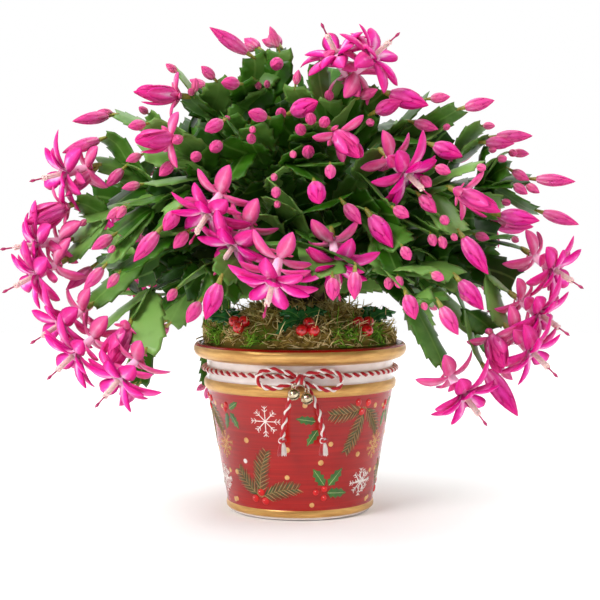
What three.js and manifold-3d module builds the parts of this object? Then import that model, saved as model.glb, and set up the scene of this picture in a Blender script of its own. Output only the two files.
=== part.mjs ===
// Christmas cactus in full bloom, in a tapered glazed ceramic pot tied with twisted twine.
// Millimetres, +Z up, the plant's best side towards -Y. The origin is the middle of the pot's underside.
import * as THREE from 'three';
import { mergeVertices } from 'three/addons/utils/BufferGeometryUtils.js';
import Module from 'manifold-3d';

const wasm = await Module();
wasm.setup();

// Pot
const POT_HEIGHT = 134;
const RIM_RADIUS = 85;
const BASE_RADIUS = 57;
const BODY_TOP_RADIUS = 74;
const BODY_TOP_HEIGHT = 97;
const GROOVE_RADIUS = 74.5;
const GROOVE_BOTTOM = 106.5;
const GROOVE_TOP = 121.5;
const WALL = 4.5;
const FLOOR = 8;
const POT_SIDES = 22;

// Filling
const SEAT_GAP = 0.3;
const SOIL_HEIGHT = 118;
const STOCK_RADIUS = 17;
const STOCK_DEPTH = 72;
const MOSS_EDGE_HEIGHT = 136;
const MOSS_RISE = 30;
const MOSS_RADIUS = 78;
const MOSS_ROUGHNESS = 2.2;

// Growth: stems leave one crown and spread like the jets of a fountain
const CROWN_HEIGHT = 150;
const STUMP_REACH = 36;
const STUMP_RADIUS = 2.6;
const HEAD_RADIUS = 21;
const MOST_TWIST_DEG = 90;
const SPREAD_START = 0.46;
const SPREAD_REACH = 200;
const SPREAD_POWER = 1.2;
const STEM_COUNT = 20;
const SIBLING_STEP = 2.4;
const SIBLING_COST = 20;
const LEAST_AHEAD = 0.3;
const LEAST_REACH = 14;

// Dome that the tips fill
const DOME_HALF_WIDTH = 214;
const DOME_HALF_DEPTH = 186;
const DOME_RISE = 232;
const DOME_INNER = 0.8;

// Flat segments of the stems
const SEGMENT_LENGTH = 42;
const SEGMENT_THICK = 2;
const SEGMENT_HALF_WIDTH = 12.5;
const WOODY_HALF_WIDTH = 2.4;
const WOODY_THICK = 4;
const NARROW_WITHIN = 50;
const BROAD_BEYOND = 125;
const BARE_WITHIN = 70;
const JOINT_HALF_WIDTH = 1.8;
const ROOT_THICK = 1.2;
const ROOT_SUNK = 5;

// Flowers
const BUD_LENGTH_TO_WIDTH = 2.6;
const LEAST_BUD_WIDTH = 10;
const BROAD_BUD = 10;
const BLOOM_LENGTH = 62;
const BLOOM_TO_EYE = 1.12;
const OPENING_LENGTH = 44;
const SHARED_TIP = 30;
const SHARED_MOST = 5;
const TIP_HALF_WIDTH = 8;
const MOST_TURNED_BACK = 0.3;
const PETAL_THICK = 1.3;

// A petal's keen edges need this many times the clearance across
const KEEN_EDGE = 4;

// The plant is described as it is seen from in front, from this eye
const EYE_DISTANCE = 1150;
const EYE_HEIGHT = 229;

// Buds in front: across and height of the base and of the tip, and width, as seen at the pot's axis
const FRONT_BUDS = [
  [-146, 315, -180, 308, 10], [-144, 319, -159, 321, 6], [-120, 315, -127, 320, 6],
  [-120, 308, -136, 304, 8], [-154, 297, -188, 283, 10], [-160, 273, -186, 247, 10],
  [-124, 284, -138, 277, 7], [-138, 275, -154, 256, 9], [-124, 260, -142, 256, 7],
  [-99, 279, -111, 265, 9], [-90, 291, -98, 285, 7], [-140, 243, -154, 231, 7],
  [-138, 240, -142, 233, 5], [-134, 238, -142, 227, 6], [-170, 232, -174, 226, 5],
  [-162, 219, -166, 213, 5], [-148, 211, -151, 205, 5], [-146, 221, -166, 207, 9],
  [-110, 226, -132, 197, 11], [-96, 241, -107, 222, 11], [-88, 224, -100, 208, 9],
  [-162, 197, -186, 175, 10], [-154, 197, -172, 175, 9], [-143, 191, -154, 176, 7],
  [-98, 177, -105, 167, 7], [-63, 186, -75, 151, 13], [-78, 169, -90, 149, 10],
  [-37, 360, -72, 382, 11], [-16, 364, -24, 384, 7], [-16, 356, -20, 346, 10],
  [-4, 336, -1, 350, 6], [-32, 334, -34, 340, 5], [-26, 335, -26, 341, 5],
  [-96, 347, -106, 354, 6], [-80, 333, -78, 347, 6], [-82, 330, -84, 335, 5],
  [-66, 341, -78, 352, 8], [-46, 339, -62, 338, 10], [-59, 311, -75, 300, 10],
  [-56, 313, -60, 309, 5], [-24, 312, -41, 315, 10], [-15, 311, -15, 318, 8],
  [-10, 315, 15, 323, 14], [-38, 292, -39, 298, 7], [-62, 293, -70, 285, 9],
  [-80, 283, -84, 279, 8], [14, 355, 28, 364, 8], [44, 327, 62, 334, 8],
  [42, 330, 44, 335, 5], [24, 326, 22, 332, 7], [66, 333, 102, 320, 15],
  [100, 327, 119, 328, 8], [56, 315, 80, 324, 12], [86, 310, 110, 302, 9],
  [114, 304, 118, 305, 5], [9, 307, 8, 314, 8], [16, 305, 20, 310, 8],
  [2, 299, -1, 305, 8], [54, 310, 57, 306, 6], [6, 281, 7, 288, 9],
  [24, 276, 24, 263, 8], [11, 263, 15, 243, 13], [102, 292, 128, 280, 13],
  [106, 274, 119, 268, 8], [96, 266, 103, 257, 8], [93, 253, 108, 236, 10],
  [125, 319, 154, 325, 10], [144, 306, 154, 305, 6], [150, 297, 184, 297, 10],
  [142, 293, 170, 291, 10], [150, 287, 155, 286, 5], [166, 285, 182, 283, 7],
  [157, 280, 163, 279, 6], [166, 278, 171, 276, 6], [141, 274, 146, 271, 6],
  [166, 272, 182, 262, 8], [168, 261, 180, 251, 8], [178, 261, 190, 252, 7],
  [182, 264, 218, 261, 10], [188, 239, 221, 227, 10], [154, 236, 190, 230, 13],
  [161, 246, 166, 244, 6], [113, 234, 116, 228, 7], [121, 220, 124, 215, 5],
  [138, 220, 150, 216, 7], [127, 222, 149, 187, 13], [104, 221, 106, 210, 7],
  [112, 219, 114, 208, 7], [169, 217, 173, 214, 5], [33, 247, 49, 227, 10],
  [53, 239, 74, 208, 14], [73, 242, 86, 233, 9], [81, 211, 87, 199, 8],
  [71, 186, 70, 176, 7], [78, 187, 79, 177, 7], [84, 175, 91, 152, 11],
  [98, 165, 100, 160, 5], [104, 189, 114, 184, 7], [110, 167, 126, 139, 11],
  [124, 187, 146, 159, 13], [128, 175, 134, 167, 7], [146, 116, 173, 75, 14],
  [26, 188, 26, 167, 10], [44, 195, 43, 167, 10], [-19, 258, -19, 248, 7],
  [-18, 246, -18, 241, 5], [-38, 305, -37, 300, 5], [-6, 286, -5, 280, 5],
  [-20, 268, -21, 262, 5],
];

// Flowers that are half open, in front: base and mouth, as seen at the pot's axis
const FRONT_OPENING = [
  [-88, 329, -130, 331], [-96, 297, -127, 291], [-178, 245, -218, 227], [-135, 151, -150, 117],
  [24, 304, 46, 279], [119, 257, 157, 237], [152, 143, 158, 116],
];

// Open blooms in front: base and mouth, as seen at the pot's axis
const FRONT_BLOOMS = [
  [-160, 275, -200, 264], [-182, 216, -208, 212], [-186, 200, -206, 189], [-166, 164, -204, 139],
  [-158, 144, -192, 112], [-124, 127, -148, 99], [-58, 261, -80, 223], [-36, 235, -54, 208],
  [-14, 211, -22, 180], [25, 224, 28, 197], [36, 341, 62, 363], [42, 336, 29, 360],
  [64, 287, 82, 269], [178, 208, 218, 180], [168, 173, 212, 140], [164, 147, 204, 106],
  [114, 115, 148, 68],
];

// Segments that end bare, in front: across and height of the tip
const FRONT_BARE = [
  [-34, 361], [-12, 363], [14, 352], [-152, 283], [-144, 175], [-120, 160], [-30, 287], [78, 189],
];

// Tips behind, placed by a rule
const BACK_TIPS = 23;
const MORE_BACK_TIPS = 10;
const MORE_BACK_TURN = 1.1;
const BACK_TOP_DEG = 3;
const BACK_LOW_DEG = 114;
const BACK_CROWDING = 0.62;
const BACK_HALF_WIDTH = 182;
const GOLDEN_TURN = Math.PI * (3 - Math.sqrt(5));

// Bare tips inside the dome, clear of the pot's front and sides
const INNER_TIPS = 10;
const INNER_STRIDE = 0.7549;
const INNER_SPAN = 1.3;
const INNER_LEAST = 0.5;
const INNER_MOST = 0.88;
const INNER_FLOOR = 178;
const INNER_CLEAR_OUT = 118;
const LEAST_INNER_WIDTH = 0.5;

// Twine, bow and bells
const TWINE_RADIUS = 2.1;
const TWINE_HEIGHT = 113.5;
const BOW_HEIGHT = 112;
const BOW_OUT = 81.4;
const KNOT_OUT = 84.2;
const KNOT_HALF_WIDTH = 5.6;
const KNOT_HALF_DEPTH = 4.2;
const KNOT_HALF_HEIGHT = 4.6;
const TAIL_OUT = 79.5;
const TAIL_END_HEIGHT = 68;
const BELL_RADIUS = 4.7;
const BELL_WALL = 0.8;
const BELL_OUT = 88;
const PELLET_RADIUS = 1.6;
const WIRE_RADIUS = 0.8;

// Holly
const BERRY_RADIUS = 4.2;
const HOLLY_LENGTH = 22;
const HOLLY_HALF_WIDTH = 7;
const HOLLY_THICK = 0.9;
const STALK_RADIUS = 0.9;
const STALK_DEPTH = 14;

const RAD = Math.PI / 180;
const MERGE_WITHIN = 1e-3;
const SIMPLIFY_WITHIN = 0.02;
const GRIDS_TO_TRY = [0.01, 0.0125, 0.008, 0.016, 0.005];
const NUDGE = 0.02;
const GROWTH_SEED = 20231;

// The same seeded draws each time, from 0 to 1
function seededDraw(seed) {
  let state = seed;
  return () => {
    state = (state * 48271) % 2147483647;
    return state / 2147483647;
  };
}

// Solid from a closed geometry, its shared vertices merged and its collapsed triangles dropped
function solidOf(geometry) {
  const bare = geometry.clone();
  bare.deleteAttribute('normal');
  bare.deleteAttribute('uv');
  const merged = mergeVertices(bare, MERGE_WITHIN);
  const index = merged.index.array;
  const corners = [];
  for (let i = 0; i < index.length; i += 3) {
    const [a, b, c] = [index[i], index[i + 1], index[i + 2]];
    if (a !== b && b !== c && c !== a) corners.push(a, b, c);
  }
  const vertProperties = new Float32Array(merged.attributes.position.array);
  const triVerts = new Uint32Array(corners);
  return new wasm.Manifold(new wasm.Mesh({ numProp: 3, vertProperties, triVerts }));
}

// Geometry from a solid
function geometryOf(solid) {
  const mesh = solid.getMesh();
  const geometry = new THREE.BufferGeometry();
  geometry.setAttribute('position', new THREE.BufferAttribute(new Float32Array(mesh.vertProperties), 3));
  geometry.setIndex(new THREE.BufferAttribute(new Uint32Array(mesh.triVerts), 1));
  return geometry;
}

// The largest body of a solid, without the scraps that a cut leaves
function largestBody(solid) {
  const bodies = solid.decompose();
  bodies.sort((a, b) => b.volume() - a.volume());
  return bodies[0];
}

// A closed bar from one four-cornered ring to the next, its opposite faces split into triangles alike
function ribbonSolid(rings) {
  const corners = [0, 1, 2, 0, 2, 3];
  rings.slice(1).forEach((ring, i) => {
    for (let k = 0; k < 4; k += 1) {
      const near = [4 * i + k, 4 * i + ((k + 1) % 4)];
      const far = near.map((corner) => corner + 4);
      if (k % 2) corners.push(near[0], far[0], near[1], near[1], far[0], far[1]);
      else corners.push(near[0], far[0], far[1], near[0], far[1], near[1]);
    }
  });
  const last = 4 * (rings.length - 1);
  corners.push(last, last + 2, last + 1, last, last + 3, last + 2);
  const geometry = new THREE.BufferGeometry().setFromPoints(rings.flat());
  return solidOf(geometry.setIndex(corners));
}

// A closed lathe about +Y whose profile starts and ends on the axis
function turned(profile, sides) {
  return new THREE.LatheGeometry(profile.map(([r, h]) => new THREE.Vector2(r, h)), sides);
}

// The same geometry with every vertex moved by a rule
function moved(geometry, rule) {
  const position = geometry.attributes.position;
  const point = new THREE.Vector3();
  for (let i = 0; i < position.count; i += 1) {
    point.fromBufferAttribute(position, i);
    const at = rule(point);
    position.setXYZ(i, at.x, at.y, at.z);
  }
  return geometry;
}

// A lathe stood up along +Z
function stoodUp(geometry) {
  return geometry.rotateX(Math.PI / 2);
}

// Three directions at right angles, the second along the given one
function frameAlong(direction, side) {
  const along = direction.clone().normalize();
  const normal = new THREE.Vector3().crossVectors(side, along).normalize();
  const across = new THREE.Vector3().crossVectors(along, normal).normalize();
  return { along, across, normal };
}

// Growth

// How far out from upright a stem leans at a distance from the crown
function spreadAt(distance) {
  return SPREAD_START + (1 - SPREAD_START) * (distance / SPREAD_REACH) ** SPREAD_POWER;
}

// A point of the fountain: a lean in two directions, and a distance from the crown
function fountainPoint(lean, distance) {
  const fromUpright = Math.hypot(lean.u, lean.v) * spreadAt(distance);
  const turn = Math.atan2(lean.v, lean.u);
  const out = distance * Math.sin(fromUpright);
  const up = distance * Math.cos(fromUpright);
  return new THREE.Vector3(out * Math.cos(turn), out * Math.sin(turn), CROWN_HEIGHT + up);
}

// The lean and the distance that give a point
function leanOf(point) {
  const up = point.z - CROWN_HEIGHT;
  const distance = Math.hypot(point.x, point.y, up);
  const lean = Math.acos(up / distance) / spreadAt(distance);
  const turn = Math.atan2(point.y, point.x);
  return { u: lean * Math.cos(turn), v: lean * Math.sin(turn), distance };
}

// The point at a depth that the eye sees at an across and height on the pot's axis
function seenAt(across, height, depth) {
  const scale = (EYE_DISTANCE + depth) / EYE_DISTANCE;
  return new THREE.Vector3(across * scale, depth, EYE_HEIGHT + (height - EYE_HEIGHT) * scale);
}

// Depth of the dome's front in a line of sight, negative towards the eye
function domeDepth(across, height, filling) {
  const rise = Math.max(0, height - CROWN_HEIGHT) / DOME_RISE;
  const shrink = Math.sqrt(Math.max(0.02, 1 - rise * rise));
  const side = across / (DOME_HALF_WIDTH * shrink);
  return -DOME_HALF_DEPTH * shrink * filling * Math.sqrt(Math.max(0, 1 - side * side));
}

// A flower of the front, with its base and direction in space
function frontFlower(kind, row, realLength, depth) {
  const base = seenAt(row[0], row[1], depth);
  const mouth = seenAt(row[2], row[3], depth);
  const way = mouth.clone().sub(base);
  const seen = way.length();
  const length = Math.max(seen * BLOOM_TO_EYE, realLength);
  way.y = -Math.sqrt(length * length - seen * seen);
  return { kind, base, way: way.normalize(), length, width: row[4] ?? 0, front: true };
}

// Tips of the front: flowers that are close together share the end of one segment
function frontTips(draw) {
  const rows = [
    ...FRONT_BLOOMS.map((row) => ['bloom', row, 0]),
    ...FRONT_OPENING.map((row) => ['opening', row, OPENING_LENGTH]),
    ...FRONT_BUDS.map((row) => ['bud', row, row[4] * BUD_LENGTH_TO_WIDTH]),
    ...FRONT_BARE.map((row) => ['bare', row, 0]),
  ];
  const tips = [];
  for (const [kind, row, realLength] of rows) {
    const room = kind === 'bloom' ? null : tips.find((one) => one.rows.length < SHARED_MOST
      && Math.hypot(one.across - row[0], one.height - row[1]) < SHARED_TIP);
    if (room) {
      room.rows.push([kind, row, realLength]);
    } else {
      const filling = DOME_INNER + (1 - DOME_INNER) * draw();
      const depth = domeDepth(row[0], row[1], filling);
      tips.push({ across: row[0], height: row[1], depth, rows: [[kind, row, realLength]] });
    }
  }
  for (const tip of tips) {
    tip.point = seenAt(tip.across, tip.height, tip.depth);
    tip.flowers = [];
    for (const [kind, row, realLength] of tip.rows) {
      if (kind !== 'bare') tip.flowers.push(frontFlower(kind, row, realLength, tip.depth));
    }
    for (const flower of tip.flowers) {
      const away = flower.base.clone().sub(tip.point);
      away.clampLength(0, TIP_HALF_WIDTH);
      flower.base = tip.point.clone().add(away);
    }
  }
  return tips;
}

// Tips behind: turned by the golden angle, from the top of the dome down its back
function backTips(draw, count, firstTurn) {
  const tips = [];
  for (let i = 0; tips.length < count; i += 1) {
    const turn = firstTurn + i * GOLDEN_TURN;
    const filling = 0.86 + 0.14 * draw();
    const choice = draw();
    const wide = 7 + 5 * draw();
    if (Math.sin(turn) < 0.12) continue;
    const share = (tips.length + 0.5) / count;
    const down = (BACK_TOP_DEG + (BACK_LOW_DEG - BACK_TOP_DEG) * share ** BACK_CROWDING) * RAD;
    const point = new THREE.Vector3(
      BACK_HALF_WIDTH * filling * Math.sin(down) * Math.cos(turn),
      DOME_HALF_DEPTH * filling * Math.sin(down) * Math.sin(turn),
      CROWN_HEIGHT + DOME_RISE * filling * Math.cos(down) * (down > Math.PI / 2 ? 0.8 : 1),
    );
    const out = new THREE.Vector3(Math.cos(turn), Math.sin(turn), 0.6 - share * 1.7).normalize();
    const flowers = [];
    if (choice < 0.24 && share > 0.15) {
      flowers.push({ kind: 'bloom', base: point, way: out, length: BLOOM_LENGTH, width: 0 });
    } else if (choice < 0.34) {
      flowers.push({ kind: 'opening', base: point, way: out, length: OPENING_LENGTH, width: 0 });
    } else if (choice < 0.9) {
      const length = wide * BUD_LENGTH_TO_WIDTH;
      flowers.push({ kind: 'bud', base: point, way: out, length, width: wide });
      const side = new THREE.Vector3(-Math.sin(turn), Math.cos(turn), 0);
      const second = out.clone().addScaledVector(side, 0.8).normalize();
      const aside = point.clone().addScaledVector(side, 5);
      flowers.push({ kind: 'bud', base: aside, way: second, length: length * 0.6, width: wide * 0.7 });
    }
    tips.push({ point, flowers });
  }
  return tips;
}

// Bare tips inside the dome, evenly round it
function innerTips(draw, count) {
  const tips = [];
  for (let i = 0; tips.length < count; i += 1) {
    const turn = i * GOLDEN_TURN;
    const down = Math.acos(1 - INNER_SPAN * ((i * INNER_STRIDE) % 1));
    const filling = INNER_LEAST + (INNER_MOST - INNER_LEAST) * draw();
    const point = new THREE.Vector3(
      DOME_HALF_WIDTH * filling * Math.sin(down) * Math.cos(turn),
      DOME_HALF_DEPTH * filling * Math.sin(down) * Math.sin(turn),
      CROWN_HEIGHT + DOME_RISE * filling * Math.cos(down),
    );
    const out = point.y < 0 ? Math.abs(point.x) : Math.hypot(point.x, point.y);
    if (point.z < INNER_FLOOR && out < INNER_CLEAR_OUT) continue;
    tips.push({ point, flowers: [] });
  }
  return tips;
}

const leanGap = (a, b) => Math.hypot(a.u - b.u, a.v - b.v);

// The stem whose lean is nearest to that of a tip
function stemNear(stems, tip) {
  return stems.reduce((best, stem) => (leanGap(stem, tip.lean) < leanGap(best, tip.lean) ? stem : best));
}

function meanLean(members) {
  const sum = { u: 0, v: 0 };
  for (const one of members) {
    sum.u += one.u / members.length;
    sum.v += one.v / members.length;
  }
  return sum;
}

// Stems: each tip belongs to the stem whose lean is nearest, and stems settle in the middle of their tips
function stemsFor(tips) {
  const stems = [];
  for (let i = 0; i < STEM_COUNT; i += 1) {
    const { u, v } = tips[Math.floor((i + 0.5) * tips.length / STEM_COUNT)].lean;
    stems.push({ u, v, tips: [] });
  }
  for (let round = 0; round < 6; round += 1) {
    for (const stem of stems) stem.tips = [];
    for (const tip of tips) stemNear(stems, tip).tips.push(tip);
    for (const stem of stems) {
      if (stem.tips.length) Object.assign(stem, meanLean(stem.tips.map((tip) => tip.lean)));
    }
  }
  return stems.filter((stem) => stem.tips.length);
}

// Half the width that a segment has at a distance from the crown: old woody ones are narrow
function halfWidthAt(distance) {
  const grown = (distance - NARROW_WITHIN) / (BROAD_BEYOND - NARROW_WITHIN);
  return THREE.MathUtils.lerp(WOODY_HALF_WIDTH, SEGMENT_HALF_WIDTH, THREE.MathUtils.clamp(grown, 0, 1));
}

// Where a limb's middle line runs, at a share of its length
function courseOf(limb) {
  const { from, to, shift } = limb;
  return (share) => {
    const ease = share * share * (3 - 2 * share);
    const lean = { u: from.u + (to.u - from.u) * ease, v: from.v + (to.v - from.v) * ease };
    const point = fountainPoint(lean, from.distance + (to.distance - from.distance) * share);
    return point.addScaledVector(shift, (1 - Math.max(0, share)) ** 2);
  };
}

function courseFrame(at, share, twist) {
  const point = at(share);
  const ahead = at(share + 0.02).sub(at(share - 0.02));
  const round = new THREE.Vector3(-point.y, point.x, 0).normalize();
  const { along, across, normal } = frameAlong(ahead, round);
  const width = across.clone().multiplyScalar(Math.cos(twist)).addScaledVector(normal, Math.sin(twist));
  return { point, along, width, face: new THREE.Vector3().crossVectors(along, width) };
}

// The joint of a stem from which a tip is reached best, near and not behind it, or null
function bestJoint(limbs, tip) {
  let best = null;
  for (const limb of limbs) {
    for (const joint of limb.joints) {
      const way = tip.point.clone().sub(joint.point);
      const length = way.length();
      const ahead = way.dot(joint.along) / length;
      const reach = tip.lean.distance - joint.lean.distance;
      if (ahead < LEAST_AHEAD || reach < LEAST_REACH || joint.taken > 1) continue;
      const cost = length * (1.6 - 0.6 * ahead) + joint.taken * SIBLING_COST;
      if (!best || cost < best.cost) best = { cost, joint };
    }
  }
  return best && best.joint;
}

// A limb from the crown, or from a joint of its stem, to a tip
function limbTo(stem, tip, joint, draw) {
  const from = joint ? joint.lean : { u: stem.u, v: stem.v, distance: STUMP_REACH + SEAT_GAP };
  const shift = new THREE.Vector3();
  let step = 0;
  if (joint) {
    joint.taken += 1;
    step = joint.taken % 2 ? SIBLING_STEP : -SIBLING_STEP;
    shift.copy(joint.width).multiplyScalar(step);
  }
  const twist = (draw() - 0.5) * MOST_TWIST_DEG * RAD;
  const { piece } = stem;
  const limb = {
    piece, from, to: tip.lean, tip, joint, step, shift, narrow: 1, twist, root: !joint, stands: false,
  };
  const at = courseOf(limb);
  limb.length = at(0).distanceTo(at(0.5)) + at(0.5).distanceTo(at(1));
  limb.count = Math.max(1, Math.round(limb.length / SEGMENT_LENGTH));
  limb.joints = [];
  for (let i = 1; i < limb.count; i += 1) {
    const frame = courseFrame(at, i / limb.count, limb.twist);
    limb.joints.push({ ...frame, limb, share: i / limb.count, lean: leanOf(frame.point), taken: 0 });
  }
  return limb;
}

// The limbs of a stem: the first runs from the crown to the farthest tip, and the others fork from its joints
function limbsOf(stem, draw) {
  const limbs = [];
  const farthestFirst = [...stem.tips].sort((a, b) => b.lean.distance - a.lean.distance);
  for (const tip of farthestFirst) {
    const joint = limbs.length ? bestJoint(limbs, tip) ?? limbs[0].joints[0] : null;
    limbs.push(limbTo(stem, tip, joint, draw));
  }
  return limbs;
}

// Half the outline of one segment: share of its length, and share of its half width
const TOOTHED = [[0.42, 1], [0.54, 0.74], [0.93, 0.9]];
const PLAIN = [[0.6, 1]];

// Half widths of a limb along its length: joints, swells and the teeth of its last segment
function limbSides(limb, narrow) {
  const { count, length, root } = limb;
  const reached = (share) => limb.from.distance + (limb.to.distance - limb.from.distance) * share;
  const sides = [root ? [0, WOODY_HALF_WIDTH] : [-ROOT_SUNK / length, JOINT_HALF_WIDTH]];
  for (let i = 0; i < count; i += 1) {
    if (reached((i + 1) / count) < BARE_WITHIN) continue;
    if (i) sides.push([i / count, JOINT_HALF_WIDTH]);
    for (const [share, wide] of i === count - 1 ? TOOTHED : PLAIN) {
      const along = (i + share) / count;
      sides.push([along, halfWidthAt(reached(along)) * narrow * wide]);
    }
  }
  return [...sides, [1, SEGMENT_HALF_WIDTH * narrow * 0.55]];
}

// A limb as a toothed blade, one segment after another, bent along its course
function limbSolid(limb, twist, narrow, clearance) {
  const at = courseOf(limb);
  const rings = limbSides(limb, narrow).map(([share, wide], i) => {
    const { point, along, width, face } = courseFrame(at, share, twist);
    if (share === 1) point.addScaledVector(along, clearance);
    const grown = !limb.root && !i ? ROOT_THICK : SEGMENT_THICK;
    const thick = limb.root && share < 0.5 / limb.count ? WOODY_THICK : grown;
    return [[-1, 1], [1, 1], [1, -1], [-1, -1]].map(([side, front]) => point.clone()
      .addScaledVector(width, side * (wide + clearance))
      .addScaledVector(face, front * (thick / 2 + clearance)));
  });
  return ribbonSolid(rings);
}

// A turned form laid along a way, from its root outwards
function laidAlong(geometry, root, way, roll) {
  const side = Math.abs(way.z) < 0.9 ? new THREE.Vector3(0, 0, 1) : new THREE.Vector3(1, 0, 0);
  const { along, across, normal } = frameAlong(way, side);
  const right = across.clone().multiplyScalar(Math.cos(roll)).addScaledVector(normal, Math.sin(roll));
  const front = new THREE.Vector3().crossVectors(right, along);
  return moved(geometry, (point) => root.clone().addScaledVector(right, point.x)
    .addScaledVector(along, point.y).addScaledVector(front, point.z));
}

// A closed bud: a spindle from its seat to its pointed tip
function budSolid(flower, scale, clearance) {
  const length = flower.length * scale + clearance;
  const radius = (flower.width / 2) * scale + clearance;
  const profile = [[0, -2.5], [radius, length * 0.42], [0, length]];
  if (flower.width < BROAD_BUD) return solidOf(laidAlong(turned(profile, 4), flower.base, flower.way, 0));
  profile.splice(2, 0, [radius * 0.7, length * 0.74]);
  return solidOf(laidAlong(turned(profile, 5), flower.base, flower.way, 0));
}

// Tiers of petals, from the base out: how far along, how many, length, width, lean and curl in degrees
const BLOOM_TIERS = [
  { along: 11, count: 3, length: 23, width: 9, lean: 92, curl: 52 },
  { along: 23, count: 4, length: 29, width: 10.5, lean: 56, curl: 56 },
  { along: 29, count: 3, length: 20, width: 10.5, lean: 20, curl: 60 },
];
const OPENING_TIERS = [
  { along: 12, count: 3, length: 16, width: 8, lean: 36, curl: 34 },
  { along: 21, count: 3, length: 23, width: 10, lean: 14, curl: 16 },
];

// The tube of a bloom, with its stamens and style standing out of the mouth
function tubeProfile(kind, foot, grow) {
  if (kind === 'bloom') {
    return [[0, foot], [2.4 + grow, foot], [5 + grow, 34], [1.8 + grow, 39], [0, BLOOM_LENGTH + grow]];
  }
  return [[0, foot], [2.4 + grow, foot], [6 + grow, 22], [0, OPENING_LENGTH + grow]];
}

// One petal: a pointed blade with a slight keel, curling back as it goes out
function petalSolid(flower, tier, turn, stretch, clearance) {
  const length = tier.length * stretch;
  const half = (tier.width / 2) * Math.sqrt(stretch) + KEEN_EDGE * clearance;
  const blade = turned([[0, -3], [1, length * 0.5], [0, length + clearance]], 3);
  const bent = moved(blade, (point) => {
    const share = Math.max(0, point.y) / length;
    const middle = (tier.lean + tier.curl * share * 0.5) * RAD;
    const end = (tier.lean + tier.curl * share) * RAD;
    const lift = point.z * (PETAL_THICK / 1.5 + 2 * clearance);
    const out = point.y * Math.sin(middle) + lift * Math.cos(end);
    const up = point.y * Math.cos(middle) - lift * Math.sin(end);
    return new THREE.Vector3(point.x * half * 1.15, tier.along + up, out + 2.4);
  });
  bent.rotateY(turn);
  return solidOf(laidAlong(bent, flower.base, flower.way, 0));
}

const PALETTE = {
  glaze: '#b02a22', soil: '#3b2a1e', moss: '#7c6c36', bark: '#6b5a38', pad: '#3f6b2a', petal: '#e0218f',
  holly: '#24521f', berry: '#c4141c', twine: '#c9353a', brass: '#b08a4a',
};

const plant = new THREE.Group();

// Solids that already stand, each a little swollen and with its piece's name
const standing = [];

function stand(piece, solid) {
  standing.push({ piece, solid, box: solid.boundingBox() });
}

function boxesMeet(a, b) {
  return [0, 1, 2].every((axis) => a.min[axis] < b.max[axis] && b.min[axis] < a.max[axis]);
}

// Whether a solid would cross one that already stands in another piece
function crosses(piece, solid) {
  const box = solid.boundingBox();
  return standing.some((one) => one.piece !== piece && boxesMeet(box, one.box)
    && !one.solid.intersect(solid).isEmpty());
}

// What is left of a solid where others already stand
function cutClear(piece, solid) {
  const box = solid.boundingBox();
  let rest = solid;
  for (const one of standing) {
    if (one.piece !== piece && boxesMeet(box, one.box)) rest = rest.subtract(one.solid);
  }
  return rest;
}

// Whether no two corners of a solid share a place, so that its skin touches itself nowhere
function touchesNowhere(solid) {
  const { vertProperties } = solid.getMesh();
  const places = new Set();
  for (let i = 0; i < vertProperties.length; i += 3) places.add([...vertProperties.slice(i, i + 3)].join());
  return places.size === vertProperties.length / 3;
}

// The same solid with the corners that share a place nudged apart
function nudgedApart(solid) {
  const met = new Map();
  return solidOf(moved(geometryOf(solid), (point) => {
    const place = point.toArray().join();
    const times = met.get(place) ?? 0;
    met.set(place, times + 1);
    return point.addScalar(NUDGE * times);
  }));
}

// One closed body with no sealed hollow, its corners on a grid on which no two of them meet
function settled(solid) {
  const body = solid.simplify(SIMPLIFY_WITHIN);
  let best = null;
  for (const grid of GRIDS_TO_TRY) {
    const onGrid = moved(geometryOf(body), (point) => point.divideScalar(grid).round().multiplyScalar(grid));
    best = largestBody(solidOf(onGrid));
    if (touchesNowhere(best)) return best;
  }
  return nudgedApart(best);
}

function addPart(name, solid, colour, roughness, metalness = 0) {
  const material = new THREE.MeshStandardMaterial({ color: colour, roughness, metalness });
  const mesh = new THREE.Mesh(geometryOf(settled(solid)), material);
  mesh.name = name;
  plant.add(mesh);
}

// Pot, from the middle of the underside up the outside, over the rim and down the inside
const POT_PROFILE = [
  [0, 0], [BASE_RADIUS - 1, 0], [BASE_RADIUS, 2.2], [BASE_RADIUS + 2, 4], [BASE_RADIUS + 2, 7.5],
  [BASE_RADIUS + 1.2, 8.5], [BODY_TOP_RADIUS, BODY_TOP_HEIGHT],
  [BODY_TOP_RADIUS + 2.4, BODY_TOP_HEIGHT + 1.6],
  [BODY_TOP_RADIUS + 2.6, GROOVE_BOTTOM - 2], [GROOVE_RADIUS, GROOVE_BOTTOM], [GROOVE_RADIUS, GROOVE_TOP],
  [RIM_RADIUS - 4.5, GROOVE_TOP + 1], [RIM_RADIUS - 0.5, GROOVE_TOP + 4.5], [RIM_RADIUS, POT_HEIGHT - 4],
  [RIM_RADIUS - 2, POT_HEIGHT], [RIM_RADIUS - 7, POT_HEIGHT - 3],
  [GROOVE_RADIUS - WALL + 0.5, SOIL_HEIGHT], [GROOVE_RADIUS - WALL - 0.5, BODY_TOP_HEIGHT + 7],
  [BASE_RADIUS - WALL + 0.5, FLOOR], [0, FLOOR],
];

function potSolid() {
  return solidOf(stoodUp(turned(POT_PROFILE, POT_SIDES)));
}

// Potting mix up to just under the moss, with a plain hole for the root stock
function soilSolid() {
  const fill = turned([
    [0, FLOOR + SEAT_GAP], [BASE_RADIUS - WALL, FLOOR + SEAT_GAP],
    [GROOVE_RADIUS - WALL - 1, BODY_TOP_HEIGHT + 7], [GROOVE_RADIUS - WALL, SOIL_HEIGHT - 0.5],
    [0, SOIL_HEIGHT - 0.5],
  ], POT_SIDES);
  return solidOf(stoodUp(fill)).subtract(stockSolid(SEAT_GAP));
}

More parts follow.
